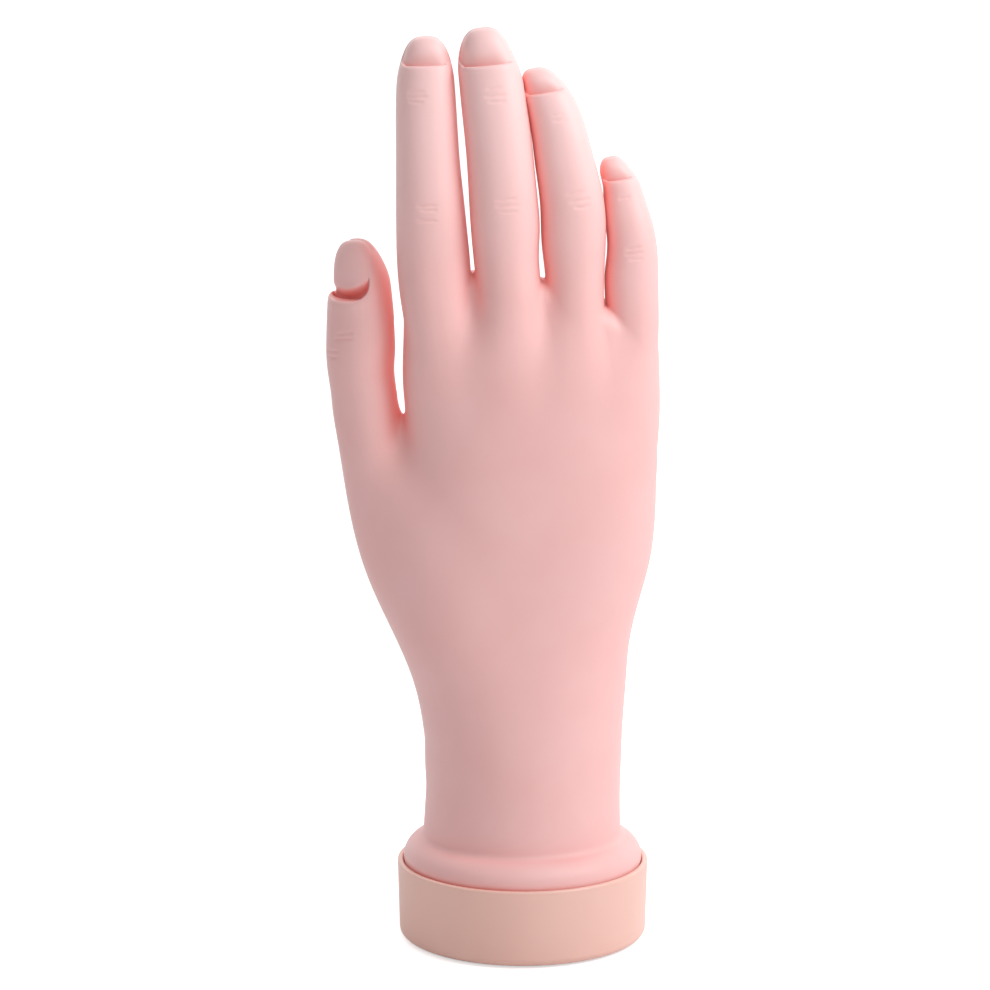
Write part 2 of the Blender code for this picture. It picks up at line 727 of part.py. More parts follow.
def plate_block(name, grow):
    """The frame's plate, or with grow the space for it."""
    wide, deep = FRAME_PLATE_WIDTH / 2 + grow, STEM_DEPTH / 2 + grow
    low = (-wide, -deep, PLATE_BOTTOM - grow)
    return block(name, Matrix.Identity(4), low, (wide, deep, PLATE_TOP + grow))


def square_section(frame, centre, wide, deep):
    """The four corners of a section of the keel or of an arm."""
    corners = ((wide, deep), (-wide, deep), (-wide, -deep), (wide, -deep))
    return [frame @ (Vector(centre) + Vector((*corner, 0))) for corner in corners]


def keel_ring(frame, centre, half, reach=0.0):
    """A section of the keel, or of a round eye at a distance from the eye's middle."""
    deep = math.sqrt(max(half * half - reach * reach, 0))
    return square_section(frame, Vector(centre) + Vector((0, 0, reach)), half, deep)


def eye_reaches(half):
    """Distances from the middle of an eye to its rings, out to its rounded end."""
    steps = [ROUND_END * step / EYE_STEPS for step in range(EYE_STEPS + 1)]
    return [half * math.sin(step) for step in steps]


def fork_bar(digit, grow):
    """The straight bar below a digit's root hinge, with a rounded end round the hinge."""
    half = digit.keel + grow
    root = digit.centre(0)
    rings = [keel_ring(digit.frame, root - Vector((0, 0, FORK_REACH + grow)), half)]
    rings += [keel_ring(digit.frame, root, half, reach) for reach in eye_reaches(half)]
    return loft(digit.name + "_fork_bar", rings)


def arm_bar(digit, shares, grow):
    """The bar from the frame's plate to the foot of a digit's fork."""
    half = digit.keel + grow
    start = Vector((shares[0] * FRAME_PLATE_WIDTH, 0, PLATE_BOTTOM + shares[1] * FRAME_PLATE_LENGTH))
    end = digit.frame @ (digit.centre(0) - Vector((0, 0, FORK_REACH - digit.keel)))
    along = (end - start).normalized()
    across = Vector((0, 1, 0)).cross(along).normalized()
    inward = along.cross(across)
    turn = Matrix((across, inward, along)).transposed().to_4x4()
    rings = []
    for place, over in ((start, -grow), (end, grow)):
        frame = Matrix.Translation(place + along * over) @ turn
        rings.append(square_section(frame, (0, 0, 0), half, half))
    return loft(digit.name + "_arm_bar", rings)


def hinge_slot(digit, number):
    """The slot of a fork, which the next bone's tongue turns in."""
    half = TONGUE_WIDTH / 2 + GAP
    reach = digit.keel + GAP
    place = digit.centre(digit.hinges[number])
    low = (place.x - half, place.y - reach - OVERRUN, place.z - reach)
    high = (place.x + half, place.y + reach + OVERRUN, place.z + reach + OVERRUN)
    return block("slot", digit.frame, low, high)


def hinge_hole(digit, number):
    """The hole for a hinge's pin."""
    place = digit.centre(digit.hinges[number])
    radius = PIN_DIAMETER / 2 + GAP
    return cross_cylinder("hole", digit.frame, place, radius, digit.keel + OVERRUN, PIN_SIDES)


def palm_frame(hand, arms):
    """The stiff frame: a stem in the wrist plug, a plate, and an arm with a fork for each digit."""
    frame = plate_block("palm_frame", 0)
    joined = [stem_block("stem", 0)]
    for digit, shares in zip(hand, arms):
        joined += [arm_bar(digit, shares, 0), fork_bar(digit, 0)]
    carve(frame, joined, "UNION")
    cutters = []
    for digit in hand:
        cutters += [hinge_slot(digit, 0), hinge_hole(digit, 0)]
    return carve(frame, cutters)


def palm_rings():
    """Sections of the wrist and palm, from the bead up to the finger roots."""
    world = Matrix.Identity(4)
    rings = []
    for height, share in BEAD_SHARES:
        radius = share * BEAD_DIAMETER / 2
        place = (0, 0, BEAD_FOOT + height * BEAD_HEIGHT)
        rings.append(section(world, place, radius, radius, PALM_SIDES))
    for row in PALM_SHARES:
        height, left, right, back, front, arch, squareness = row
        wide = (left + right) * KNUCKLE_WIDTH / 2
        deep = (back + front) * PALM_DEPTH / 2
        centre = (
            (right - left) * KNUCKLE_WIDTH / 2,
            (front - back) * PALM_DEPTH / 2,
            height * PALM_HEIGHT,
        )
        bow = arch * PALM_DEPTH
        rings.append(section(world, centre, wide, deep, PALM_SIDES, squareness, arch=bow))
    return rings


def thumb_base(thumb):
    """The root of the thumb, from inside the palm to the slanted end below the thumb's hinge."""
    rings = []
    for number, row in enumerate(THUMB_BASE_SHARES):
        height, aside, setback, wide, deep = row
        place = (
            MIDDLE_ROOT_X - aside * THUMB_SPREAD,
            setback * thumb.half_depth,
            height * PALM_HEIGHT,
        )
        turn = THUMB_TURN * number / len(THUMB_BASE_SHARES)
        frame = tilted_frame(place, 0, turn)
        rings.append(
            section(frame, (0, 0, 0), wide * thumb.half_depth, deep * thumb.half_depth, PALM_SIDES)
        )
    wide, deep = thumb.half_sizes(0)
    lips = (BACK_LIP_SHARE * deep, thumb.front_lip(0))
    rings.append(
        section(thumb.frame, thumb.centre(0), wide, deep, PALM_SIDES, FINGER_SQUARENESS, lips)
    )
    return loft("thumb_base", rings)


def root_socket(digit):
    """The round socket in the palm for the barrel of a digit's root."""
    wide, deep = digit.half_sizes(0)
    half = wide - BARREL_INSET + GAP
    return cross_cylinder(digit.name + "_socket", digit.frame, digit.centre(0), deep + GAP, half)


def root_top(digit, first, last):
    """What the palm gives up above a finger's root, down to a slanted top.

    It reaches half way over the web to each neighbour, and past the palm's side where there is none.
    """
    wide, deep = digit.half_sizes(0)
    back, front = BACK_LIP_SHARE * deep, digit.front_lip(0)
    far = PALM_DEPTH
    slope = (front - back) / (2 * deep)
    outline = [
        (-far, -back + slope * (far - deep)),
        (far, -back - slope * (far + deep)),
        (far, far),
        (-far, far),
    ]
    left = wide + (far if first else BARREL_INSET - GAP * 2)
    right = wide + (far if last else BARREL_INSET - GAP * 2)
    place = digit.frame @ Matrix.Translation(((right - left) / 2, 0, 0))
    return extruded(digit.name + "_top", outline, (right + left) / 2, place)


def palm_skin(hand, arms):
    """The soft palm and wrist: one skin, hollow for the plug, the frame and the finger roots."""
    thumb = hand[-1]
    skin = loft("palm_skin", palm_rings())
    carve(skin, [thumb_base(thumb)], "UNION")
    fingers = hand[:-1]
    cutters = [root_top(digit, digit is fingers[0], digit is fingers[-1]) for digit in fingers]
    cutters += [root_socket(digit) for digit in hand]
    for digit, shares in zip(hand, arms):
        cutters += [arm_bar(digit, shares, GAP), fork_bar(digit, GAP)]
    cutters += [stem_block("stem_space", GAP), plate_block("plate_space", GAP)]
    core = PLUG_CORE_DIAMETER / 2 + GAP
    bottom, top = BEAD_FOOT - OVERRUN, CORE_TOP + GAP
    cutters.append(turned("core_space", [(0, bottom), (core, bottom), (core, top), (0, top)]))
    return carve(skin, cutters)


def digit_rings(digit, number):
    """Sections of one length of a digit: its barrel, its body and its slanted or rounded end."""
    start = digit.hinges[number]
    last = number == len(digit.hinges) - 1
    wide, deep = digit.half_sizes(start)
    middle = digit.centre(start)
    barrel = wide - BARREL_INSET if number == 0 else wide
    rings = []
    for step in range(BARREL_STEPS, -1, -1):
        angle = ROUND_END * step / BARREL_STEPS
        centre = middle - Vector((0, 0, deep * math.sin(angle)))
        rings.append(
            section(digit.frame, centre, barrel, deep * math.cos(angle), FINGER_SIDES, FINGER_SQUARENESS)
        )
    if number == 0:
        rings.append(section(digit.frame, middle, wide, deep, FINGER_SIDES, FINGER_SQUARENESS))
    if last:
        stop = digit.length
    else:
        stop = digit.hinges[number + 1] - digit.front_lip(number + 1)
    count = max(round((stop - start) / STATION_STEP), 2)
    for place in range(1, count + 1 if last else count):
        part = place / count
        along = start + (stop - start) * (math.sin(part * math.pi / 2) if last else part)
        wide, deep = digit.half_sizes(along)
        rings.append(
            section(digit.frame, digit.centre(along), wide, deep, FINGER_SIDES, FINGER_SQUARENESS)
        )
    if not last:
        end = digit.hinges[number + 1]
        wide, deep = digit.half_sizes(end)
        lips = (BACK_LIP_SHARE * deep, digit.front_lip(number + 1))
        rings.append(
            section(digit.frame, digit.centre(end), wide, deep, FINGER_SIDES, FINGER_SQUARENESS, lips)
        )
    return rings


def bone_rings(digit, number, grow):
    """Sections of one keel bone, or with grow of the space for it."""
    half = digit.keel + grow
    start = digit.centre(digit.hinges[number])
    last = number == len(digit.hinges) - 1
    rings = [keel_ring(digit.frame, start, half, -reach) for reach in reversed(eye_reaches(half))]
    if last:
        reach = (digit.length - digit.hinges[number]) * TIP_BONE_SHARE
        end = digit.centre(digit.hinges[number] + reach)
        taper = digit.keel * TIP_BONE_TAPER_SHARE
        inward = digit.keel - taper
        rings.append(keel_ring(digit.frame, end + Vector((0, inward, grow)), taper + grow))
        return rings
    end = digit.centre(digit.hinges[number + 1])
    return rings + [keel_ring(digit.frame, end, half, reach) for reach in eye_reaches(half)]


def keel_bone(digit, number):
    """A keel bone: a tongue round its own hinge, and a fork at the next."""
    name = f"{digit.name}_{digit.parts[number]}_bone"
    bone = loft(name, bone_rings(digit, number, 0))
    middle = digit.centre(digit.hinges[number])
    reach = digit.keel + GAP
    cutters = [hinge_hole(digit, number)]
    for side in (-1, 1):
        inner = middle.x + side * TONGUE_WIDTH / 2
        outer = middle.x + side * (reach + OVERRUN)
        low = (min(inner, outer), middle.y - reach - OVERRUN, middle.z - reach - OVERRUN)
        high = (max(inner, outer), middle.y + reach + OVERRUN, middle.z + reach)
        cutters.append(block("cheek", digit.frame, low, high))
    if number < len(digit.hinges) - 1:
        cutters += [hinge_slot(digit, number + 1), hinge_hole(digit, number + 1)]
    return carve(bone, cutters)


def keel_pin(digit, number):
    """The pin of a keel hinge."""
    name = f"{digit.name}_{digit.parts[number]}_pin"
    place = digit.centre(digit.hinges[number])
    reach = digit.keel * PIN_REACH_SHARE
    return cross_cylinder(name, digit.frame, place, PIN_DIAMETER / 2, reach, PIN_SIDES)


def swing_space(digit, number):
    """The space round a hinge that the fork below it sweeps as the digit bends.

    It is wider where the bone below comes in at a slant.
    """
    start = digit.hinges[number]
    reach = digit.half_sizes(start)[1] + OVERRUN
    slack = Vector((0, 0, 0))
    if number > 0:
        below = digit.hinges[number - 1]
        slack = (digit.centre(start) - digit.centre(below)) * reach / (start - below)
    wide = digit.keel + GAP + abs(slack.x)
    half = digit.keel + GAP + abs(slack.y)
    bend = digit.bends[number]
    far = reach * SWING_REACH_SHARE
    outline = [(-half, 0), (-half, -reach)]
    for step in range(SWING_STEPS + 1):
        angle = bend * step / SWING_STEPS
        outline.append((far * math.sin(angle), -far * math.cos(angle)))
    for along in (reach, 0):
        outline.append((
            half * math.cos(bend) + along * math.sin(bend),
            half * math.sin(bend) - along * math.cos(bend),
        ))
    for step in range(1, SWING_STEPS):
        angle = bend + (math.pi - bend) * step / SWING_STEPS
        outline.append((half * math.cos(angle), half * math.sin(angle)))
    place = digit.frame @ Matrix.Translation(digit.centre(start))
    return extruded("swing", outline, wide, place)


def nail_cuts(digit):
    """The nail bed, cut below the skin from the lip to the tip, and the slot under the lip."""
    wide, deep = digit.half_sizes(digit.lip)
    centre = digit.centre(digit.lip)
    bed_radius = deep * (1 - NAIL_BED_DROP_SHARE)
    slot_radius = bed_radius - deep * NAIL_SLOT_SINK_SHARE
    slot_top = slot_radius + deep * NAIL_SLOT_HEIGHT_SHARE
    spread = wide / deep
    cuts = []
    bands = (
        (bed_radius, deep * 2, NAIL_WRAP, 0, digit.length - digit.lip + OVERRUN),
        (slot_radius, slot_top, NAIL_SLOT_WRAP, -NAIL_SLOT_DEPTH, GAP),
    )
    for inner, outer, wrap, low, high in bands:
        angles = [wrap * (2 * step / NAIL_STEPS - 1) for step in range(NAIL_STEPS + 1)]
        outline = [(inner * spread * math.sin(a), -inner * math.cos(a)) for a in angles]
        outline += [(outer * spread * math.sin(a), -outer * math.cos(a)) for a in reversed(angles)]
        place = digit.frame @ Matrix.Translation(centre + Vector((0, 0, (low + high) / 2)))
        cuts.append(extruded("nail", outline, (high - low) / 2, place, upright=True))
    return cuts


def digit_skin(digit, number):
    """One length of a digit's soft skin, hollow for its keel."""
    name = f"{digit.name}_{digit.parts[number]}_skin"
    skin = loft(name, digit_rings(digit, number))
    cutters = [loft("keel_space", bone_rings(digit, number, GAP)), swing_space(digit, number)]
    if number < len(digit.hinges) - 1:
        end = digit.hinges[number + 1]
        wide, deep = digit.half_sizes(end)
        cutters.append(
            cross_cylinder("socket", digit.frame, digit.centre(end), deep + GAP, wide + OVERRUN)
        )
    else:
        cutters += nail_cuts(digit)
    return carve(skin, cutters)


def main():
    """Builds every piece and hangs it on its joint."""
    clear_scene()
    shell = material("base_plastic", (0.72, 0.46, 0.38), 0.42)
    soft = material("soft_skin", (0.85, 0.55, 0.51), 0.55)
    foam = material("foot_foam", (0.09, 0.09, 0.09), 0.85)
    steel = material("plated_steel", (0.62, 0.62, 0.63), 0.32, 1)
    core = material("core_plastic", (0.78, 0.77, 0.74), 0.5)
    bone = material("keel_plastic", (0.82, 0.82, 0.80), 0.45)
    hand = digits()
    arms = (
        INDEX_ARM_SHARES, MIDDLE_ARM_SHARES, RING_ARM_SHARES, LITTLE_ARM_SHARES, THUMB_ARM_SHARES,
    )
    base = joint_empty("base_centre", (0, 0, 0))
    swivel = joint_empty("hand_swivel", (0, 0, 0), base)
    finish(base_cup(), shell, base)
    finish(foot_pad(), foam, base)
    finish(pivot_washer(), steel, base)
    finish(pivot_screw(), steel, swivel)
    finish(wrist_plug(), core, swivel)
    finish(palm_frame(hand, arms), core, swivel)
    finish(palm_skin(hand, arms), soft, swivel)
    for digit in hand:
        carrier = swivel
        for number, part in enumerate(digit.parts):
            place = digit.hinge_place(number)
            carrier = joint_empty(f"{digit.name}_{part}_joint", place, carrier)
            finish(digit_skin(digit, number), soft, carrier)
            finish(keel_bone(digit, number), bone, carrier)
            finish(keel_pin(digit, number), steel, carrier)


main()
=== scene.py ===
"""The looks of a nail practice hand: a soft vinyl hand over a jointed keel, in a round cup base.

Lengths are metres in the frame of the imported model. +Z is up, the back of the hand faces -Y and the
thumb is at -X. Every place comes from the frame's hinges, mounts and boxes and from named sizes.
"""
import json
import math
from itertools import product

import bpy
import numpy as np
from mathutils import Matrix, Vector


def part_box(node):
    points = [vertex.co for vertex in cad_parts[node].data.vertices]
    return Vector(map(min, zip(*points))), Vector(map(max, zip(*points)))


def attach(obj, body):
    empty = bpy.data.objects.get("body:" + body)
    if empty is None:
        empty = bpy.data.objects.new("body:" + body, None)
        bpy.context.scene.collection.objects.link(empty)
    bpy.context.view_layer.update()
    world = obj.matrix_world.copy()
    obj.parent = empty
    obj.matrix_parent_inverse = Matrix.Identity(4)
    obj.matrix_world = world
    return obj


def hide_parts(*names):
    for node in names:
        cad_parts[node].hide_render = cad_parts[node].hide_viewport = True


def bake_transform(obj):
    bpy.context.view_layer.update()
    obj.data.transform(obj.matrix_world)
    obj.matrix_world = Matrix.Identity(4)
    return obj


bl_info = {
    "name": "Nail practice hand",
    "version": (1, 0, 0),
    "blender": (4, 5, 0),
    "location": "3D View > Sidebar > Practice hand",
    "description": "Dresses the jointed model of a nail practice hand in its finished surfaces",
    "category": "Object",
}

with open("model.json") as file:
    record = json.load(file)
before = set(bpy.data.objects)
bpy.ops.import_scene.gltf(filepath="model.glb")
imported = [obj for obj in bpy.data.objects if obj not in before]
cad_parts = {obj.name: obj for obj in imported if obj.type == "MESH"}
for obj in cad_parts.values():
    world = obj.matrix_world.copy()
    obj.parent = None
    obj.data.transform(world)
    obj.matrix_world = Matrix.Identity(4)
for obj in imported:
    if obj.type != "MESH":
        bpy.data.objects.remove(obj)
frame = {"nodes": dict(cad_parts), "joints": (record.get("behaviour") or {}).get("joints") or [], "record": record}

MM = 0.001
HINGES = {joint["name"]: joint for joint in frame["joints"]}
MOUNTS = {mount["name"]: mount for mount in frame["record"]["mounts"]}
CUP_LOW, CUP_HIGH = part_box("base_cup")
PAD_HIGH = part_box("foot_pad")[1]
WASHER_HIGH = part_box("pivot_washer")[1]
SKIN_LOW, SKIN_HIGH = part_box("palm_skin")

# Camera: where it stands, how far it looks down in degrees and its lens in mm. The floor reaches
# far past the picture, and its glow is what lifts it to white for the camera.
CAMERA_PLACE = (-0.0070, -0.9650, 0.3047)
CAMERA_PITCH = 11.2
CAMERA_LENS = 143.27
SENSOR_WIDTH = 36.0
FLOOR_REACH = 6.0
FLOOR_LIFT = 0.60

# Soft round lamps: the key stands in front to the right, and the crown in front of the finger tips
KEY_PLACE = (0.40, -0.20, 0.47)
KEY_AIM = (0.0, 0.0, 0.15)
KEY_SIZE = 0.34
CROWN_PLACE = (0.08, -0.30, 0.40)
CROWN_AIM = (0.0, 0.0, 0.20)
CROWN_SIZE = 0.25

# Even light from all round: where it turns from left to right, and where the light from behind and
# from above begins and is full, all as the sine of a direction
SIDE_SPAN = 0.9
BACK_SPAN = (-0.1, 0.8)
TOP_SPAN = (0.1, 0.9)

# Stations of the digits: place along as a share of the digit's length from its root hinge, offset
# to the side and towards the palm as shares of that length, then half width and half depth as
# shares of the digit's own. Those below 0 lie in the palm.
DIGIT_SHARES = {
    "index": (
        (-0.850, 0.075, 0.060, 0.780, 0.560),
        (-0.600, 0.044, 0.010, 0.940, 0.800),
        (-0.350, 0.024, -0.012, 0.965, 0.960),
        (-0.150, 0.006, -0.012, 0.995, 1.000),
        (0.000, 0.000, 0.000, 1.000, 1.000),
        (0.120, -0.003, -0.006, 0.972, 1.000),
        (0.249, -0.005, -0.012, 0.935, 0.985),
        (0.442, -0.008, -0.010, 0.872, 0.915),
        (0.580, -0.008, -0.004, 0.845, 0.870),
        (0.737, -0.007, 0.006, 0.811, 0.820),
        (0.820, -0.005, 0.014, 0.780, 0.770),
        (0.900, -0.002, 0.022, 0.750, 0.720),
        (1.000, 0.000, 0.030, 0.710, 0.660),
    ),
    "middle": (
        (-0.850, -0.046, 0.060, 0.780, 0.560),
        (-0.600, -0.039, 0.010, 0.940, 0.800),
        (-0.350, -0.028, -0.010, 1.000, 0.960),
        (-0.150, -0.004, -0.008, 0.955, 1.000),
        (0.000, 0.000, 0.000, 0.953, 1.000),
        (0.115, 0.008, -0.006, 1.000, 1.000),
        (0.239, 0.012, -0.012, 1.000, 0.980),
        (0.425, 0.016, -0.010, 0.970, 0.920),
        (0.558, 0.016, -0.004, 0.959, 0.880),
        (0.699, 0.012, 0.006, 0.935, 0.840),
        (0.788, 0.008, 0.014, 0.905, 0.790),
        (0.880, -0.002, 0.022, 0.835, 0.740),
        (1.000, -0.006, 0.030, 0.770, 0.680),
    ),
    "ring": (
        (-0.950, -0.228, 0.040, 0.800, 0.560),
        (-0.650, -0.135, 0.000, 0.980, 0.820),
        (-0.380, -0.065, -0.016, 1.020, 0.980),
        (-0.180, -0.036, -0.010, 0.980, 1.000),
        (-0.050, -0.009, -0.002, 0.962, 1.000),
        (0.000, -0.001, 0.000, 0.980, 1.000),
        (0.133, 0.017, -0.006, 1.045, 1.000),
        (0.318, 0.038, -0.012, 1.024, 0.980),
        (0.533, 0.036, -0.008, 0.940, 0.910),
        (0.686, 0.032, 0.000, 0.870, 0.860),
        (0.748, 0.027, 0.006, 0.838, 0.830),
        (0.830, 0.013, 0.014, 0.785, 0.780),
        (0.920, -0.010, 0.024, 0.740, 0.730),
        (1.000, -0.034, 0.030, 0.700, 0.680),
    ),
    "little": (
        (-1.150, -0.330, 0.060, 0.860, 0.620),
        (-0.800, -0.197, 0.000, 1.040, 0.880),
        (-0.450, -0.095, -0.016, 1.060, 1.000),
        (-0.180, -0.036, -0.008, 1.030, 1.010),
        (0.000, -0.010, 0.000, 1.034, 1.000),
        (0.176, 0.016, -0.006, 1.033, 1.000),
        (0.381, 0.050, -0.008, 0.937, 0.970),
        (0.557, 0.050, -0.004, 0.870, 0.890),
        (0.704, 0.044, 0.006, 0.770, 0.810),
        (0.800, 0.042, 0.014, 0.700, 0.760),
        (0.900, 0.016, 0.024, 0.660, 0.700),
        (1.000, 0.000, 0.032, 0.620, 0.640),
    ),
    "thumb": (
        (-2.300, 0.640, -0.100, 0.900, 1.050),
        (-1.964, 0.550, -0.070, 1.180, 1.480),
        (-1.595, 0.440, -0.022, 1.570, 1.800),
        (-1.326, 0.338, 0.028, 1.700, 1.800),
        (-1.069, 0.236, 0.056, 1.600, 1.700),
        (-0.819, 0.143, 0.066, 1.363, 1.540),
        (-0.560, 0.070, 0.056, 1.140, 1.340),
        (-0.293, 0.013, 0.030, 0.975, 1.140),
        (-0.080, -0.012, 0.008, 0.945, 1.015),
        (0.000, -0.014, 0.000, 0.940, 1.000),
        (0.153, -0.024, -0.005, 0.935, 1.000),
        (0.288, -0.014, -0.010, 0.980, 1.000),
        (0.408, -0.003, -0.010, 0.980, 0.990),
        (0.480, 0.002, -0.008, 0.970, 0.970),
        (0.607, 0.008, 0.000, 0.915, 0.930),
        (0.700, 0.014, 0.006, 0.850, 0.880),
        (0.850, 0.012, 0.016, 0.760, 0.800),
        (1.000, 0.004, 0.024, 0.700, 0.740),
    ),
}

# Sizes of the digits: length from the root hinge to the tip, width and depth at the root, how far
# below the root hinge the palm's skin ends, and the half width of the nail place
DIGIT_SIZES = {
    "index": (54.3 * MM, 18.0 * MM, 16.4 * MM, 2.0 * MM, 6.4 * MM),
    "middle": (56.8 * MM, 16.9 * MM, 16.6 * MM, 2.0 * MM, 7.0 * MM),
    "ring": (49.5 * MM, 15.4 * MM, 15.0 * MM, 1.2 * MM, 5.5 * MM),
    "little": (34.6 * MM, 13.0 * MM, 12.6 * MM, 1.0 * MM, 4.2 * MM),
    "thumb": (38.4 * MM, 17.6 * MM, 14.8 * MM, 3.0 * MM, 6.7 * MM),
}

# Turn of the thumb's sections, which grows over a reach below its root, the place of each nail's
# lip as a share of the digit's length, the power of the sections, and how long the stretch that
# bends at a hinge is, as a share of the arc that its outer skin turns through
THUMB_TURN = math.radians(25.0)
THUMB_TURN_REACH = 75.0 * MM
LIP_SHARES = {"index": 0.875, "middle": 0.844, "ring": 0.879, "little": 0.839, "thumb": 0.621}
DIGIT_SQUARENESS = 2.15
ZONE_SHARE = 1.6

# Height of each tip's dome as a share of the digit's width, with the powers that shape it
DOME_SHARE = 0.62
DOME_ROUNDNESS = 1.7
DOME_FULLNESS = 3.3

# Nail place of each digit: how far the lip curls along at its corners, how much more the bed drops
# at the lip as a share of the half depth, the place's shift to the side, how much narrower than
# the skin the bed is on its left as a share, the rounding of the place's corners, and how far the
# place runs on round its left
NAIL_SHAPES = {
    "index": (0.3 * MM, 0.05, 0.6 * MM, 0.06, 1.2 * MM, 0.0),
    "middle": (0.3 * MM, 0.05, 0.6 * MM, 0.06, 1.2 * MM, 0.0),
    "ring": (0.3 * MM, 0.05, 0.6 * MM, 0.06, 1.2 * MM, 0.0),
    "little": (0.3 * MM, 0.05, 0.5 * MM, 0.06, 1.0 * MM, 0.0),
    "thumb": (0.9 * MM, 0.44, -1.8 * MM, 0.12, 3.4 * MM, 3.5 * MM),
}

# Nail bed: how far it lies below the skin as a share of the half depth, how much of that is gone at
# its right side, how much is gone at the tip, and by what share of the way to the tip
BED_DROP = 0.27
BED_RISE = 0.45
BED_FADE = 0.93
BED_FADE_END = 0.85

# Hollow along the lip: where it starts, how far it reaches and how it curls at the corners
MOAT_START = 0.1 * MM
MOAT_REACH = 3.0 * MM
MOAT_CURL = 2.2 * MM

# Lip and the pocket under it. The skin swells a little before the lip.
LIP_SWELL = 0.22 * MM
LIP_SWELL_BACK = 1.1 * MM
LIP_SWELL_REACH = 1.6 * MM
LIP_ROUNDING = 0.7 * MM
LIP_THICKNESS = 0.6 * MM
POCKET_DEPTH = 3.0 * MM
POCKET_GAP = 0.9 * MM
POCKET_INSET = 0.6 * MM
POCKET_ROUNDING = 0.4 * MM

# Strokes on the back of the joints, in mm: place along, to the side, half length, slant and depth.
# Their ends are gone at a share of the half length.
STROKES = {
    "index": (
        (13.9, -0.6, 2.2, 0.03, 0.30),
        (12.7, -0.2, 1.8, -0.02, 0.24),
        (10.2, -0.7, 2.2, -0.04, 0.27),
        (41.4, -2.2, 1.8, 0.06, 0.22),
        (40.2, -2.0, 2.2, 0.02, 0.26),
        (39.0, -2.3, 1.6, -0.05, 0.20),
    ),
    "middle": (
        (15.5, 0.9, 2.3, 0.05, 0.25),
        (13.9, 1.1, 2.6, 0.00, 0.28),
        (12.4, 1.3, 2.0, -0.04, 0.22),
        (42.4, 0.6, 1.7, 0.08, 0.18),
        (40.6, 0.8, 2.3, 0.03, 0.24),
        (39.2, 1.1, 1.9, -0.03, 0.21),
    ),
    "ring": (
        (18.7, 1.0, 1.9, 0.05, 0.24),
        (16.6, 2.0, 2.2, 0.00, 0.30),
        (14.9, 2.6, 1.8, -0.03, 0.26),
        (38.0, 1.0, 1.5, 0.05, 0.10),
        (36.4, 1.2, 1.7, 0.00, 0.12),
    ),
    "little": (
        (12.2, 0.3, 1.7, 0.06, 0.24),
        (10.8, 0.5, 2.0, 0.00, 0.27),
        (9.4, 0.9, 1.6, -0.04, 0.21),
        (24.6, 0.2, 1.4, 0.05, 0.17),
    ),
    "thumb": (
        (16.0, -0.6, 2.0, 0.08, 0.21),
        (14.6, -1.2, 2.4, 0.03, 0.27),
        (11.4, -4.6, 1.8, 0.05, 0.24),
        (10.0, -4.8, 1.6, 0.00, 0.21),
    ),
}
STROKE_WIDTH = 0.38 * MM
STROKE_END = 1.5

# Creases across the palm side of the joints, where the skin lies this far round to the palm as
# shares of the half depth, and the pads between them
CREASE_SPAN = (0.3, 0.9)
CREASE_STEP = 2.6 * MM
CREASE_WIDTH = 0.55 * MM
CREASE_DEPTH = 0.55 * MM
CREASE_BOW = 0.4 * MM
PAD_HEIGHT = 0.7 * MM

# Palm stations: height as a share of the palm's top, then the thumb side and the far side as shares
# of the knuckle width, the back and the front as shares of the palm's depth, the arch of the
# section as a share of the depth, and the squareness
PALM_TOP = 170.0 * MM
PALM_DEPTH = 25.0 * MM
KNUCKLE_WIDTH = 64.9 * MM
PALM_SHARES = (
    (0.080, 0.389, 0.383, 0.985, 0.985, 0.00, 2.0),
    (0.171, 0.386, 0.382, 0.972, 0.972, 0.00, 2.0),
    (0.206, 0.380, 0.380, 0.956, 0.956, 0.00, 2.0),
    (0.265, 0.374, 0.383, 0.928, 0.920, 0.00, 2.0),
    (0.328, 0.375, 0.389, 0.872, 0.872, 0.00, 2.1),
    (0.388, 0.379, 0.400, 0.792, 0.808, 0.00, 2.1),
    (0.449, 0.396, 0.413, 0.712, 0.728, 0.00, 2.2),
    (0.512, 0.420, 0.450, 0.652, 0.648, 0.02, 2.3),
    (0.571, 0.438, 0.490, 0.610, 0.570, 0.05, 2.4),
    (0.629, 0.448, 0.508, 0.585, 0.510, 0.08, 2.5),
    (0.688, 0.453, 0.513, 0.560, 0.470, 0.10, 2.5),
    (0.753, 0.443, 0.515, 0.530, 0.430, 0.12, 2.6),
    (0.812, 0.444, 0.516, 0.485, 0.390, 0.13, 2.6),
    (0.882, 0.446, 0.515, 0.400, 0.330, 0.13, 2.7),
    (0.941, 0.450, 0.510, 0.310, 0.270, 0.13, 2.8),
    (1.030, 0.458, 0.505, 0.220, 0.220, 0.13, 2.8),
)

# Height of the webs across the hand: place from the middle line and height, both as shares of
# the palm's height
WEB_SHARES = (
    (-0.250, 0.958),
    (-0.130, 0.992),
    (-0.076, 0.999),
    (-0.030, 1.000),
    (0.027, 0.990),
    (0.075, 0.975),
    (0.118, 0.950),
    (0.160, 0.930),
    (0.210, 0.895),
)
WEB_ROUNDING = 5.0 * MM

# Fillets between the palm and the roots of the digits: a fine one at the seams, a small one in the
# webs and a broad one down to the knuckles, each fading in over its own height below the web. The
# thumb's own grows downward from the height of its web. The roots end a margin past the seams.
SEAM_FILLET = 0.12 * MM
WEB_FILLET = 0.7 * MM
WEB_FADE = 2.5 * MM
KNUCKLE_FILLET = 6.4 * MM
KNUCKLE_FADE = 26.0 * MM
THUMB_FILLET = 13.0 * MM
THUMB_WEB_HEIGHT = 145.0 * MM
THUMB_FADE = 40.0 * MM
CUT_MARGIN = 1.3 * MM

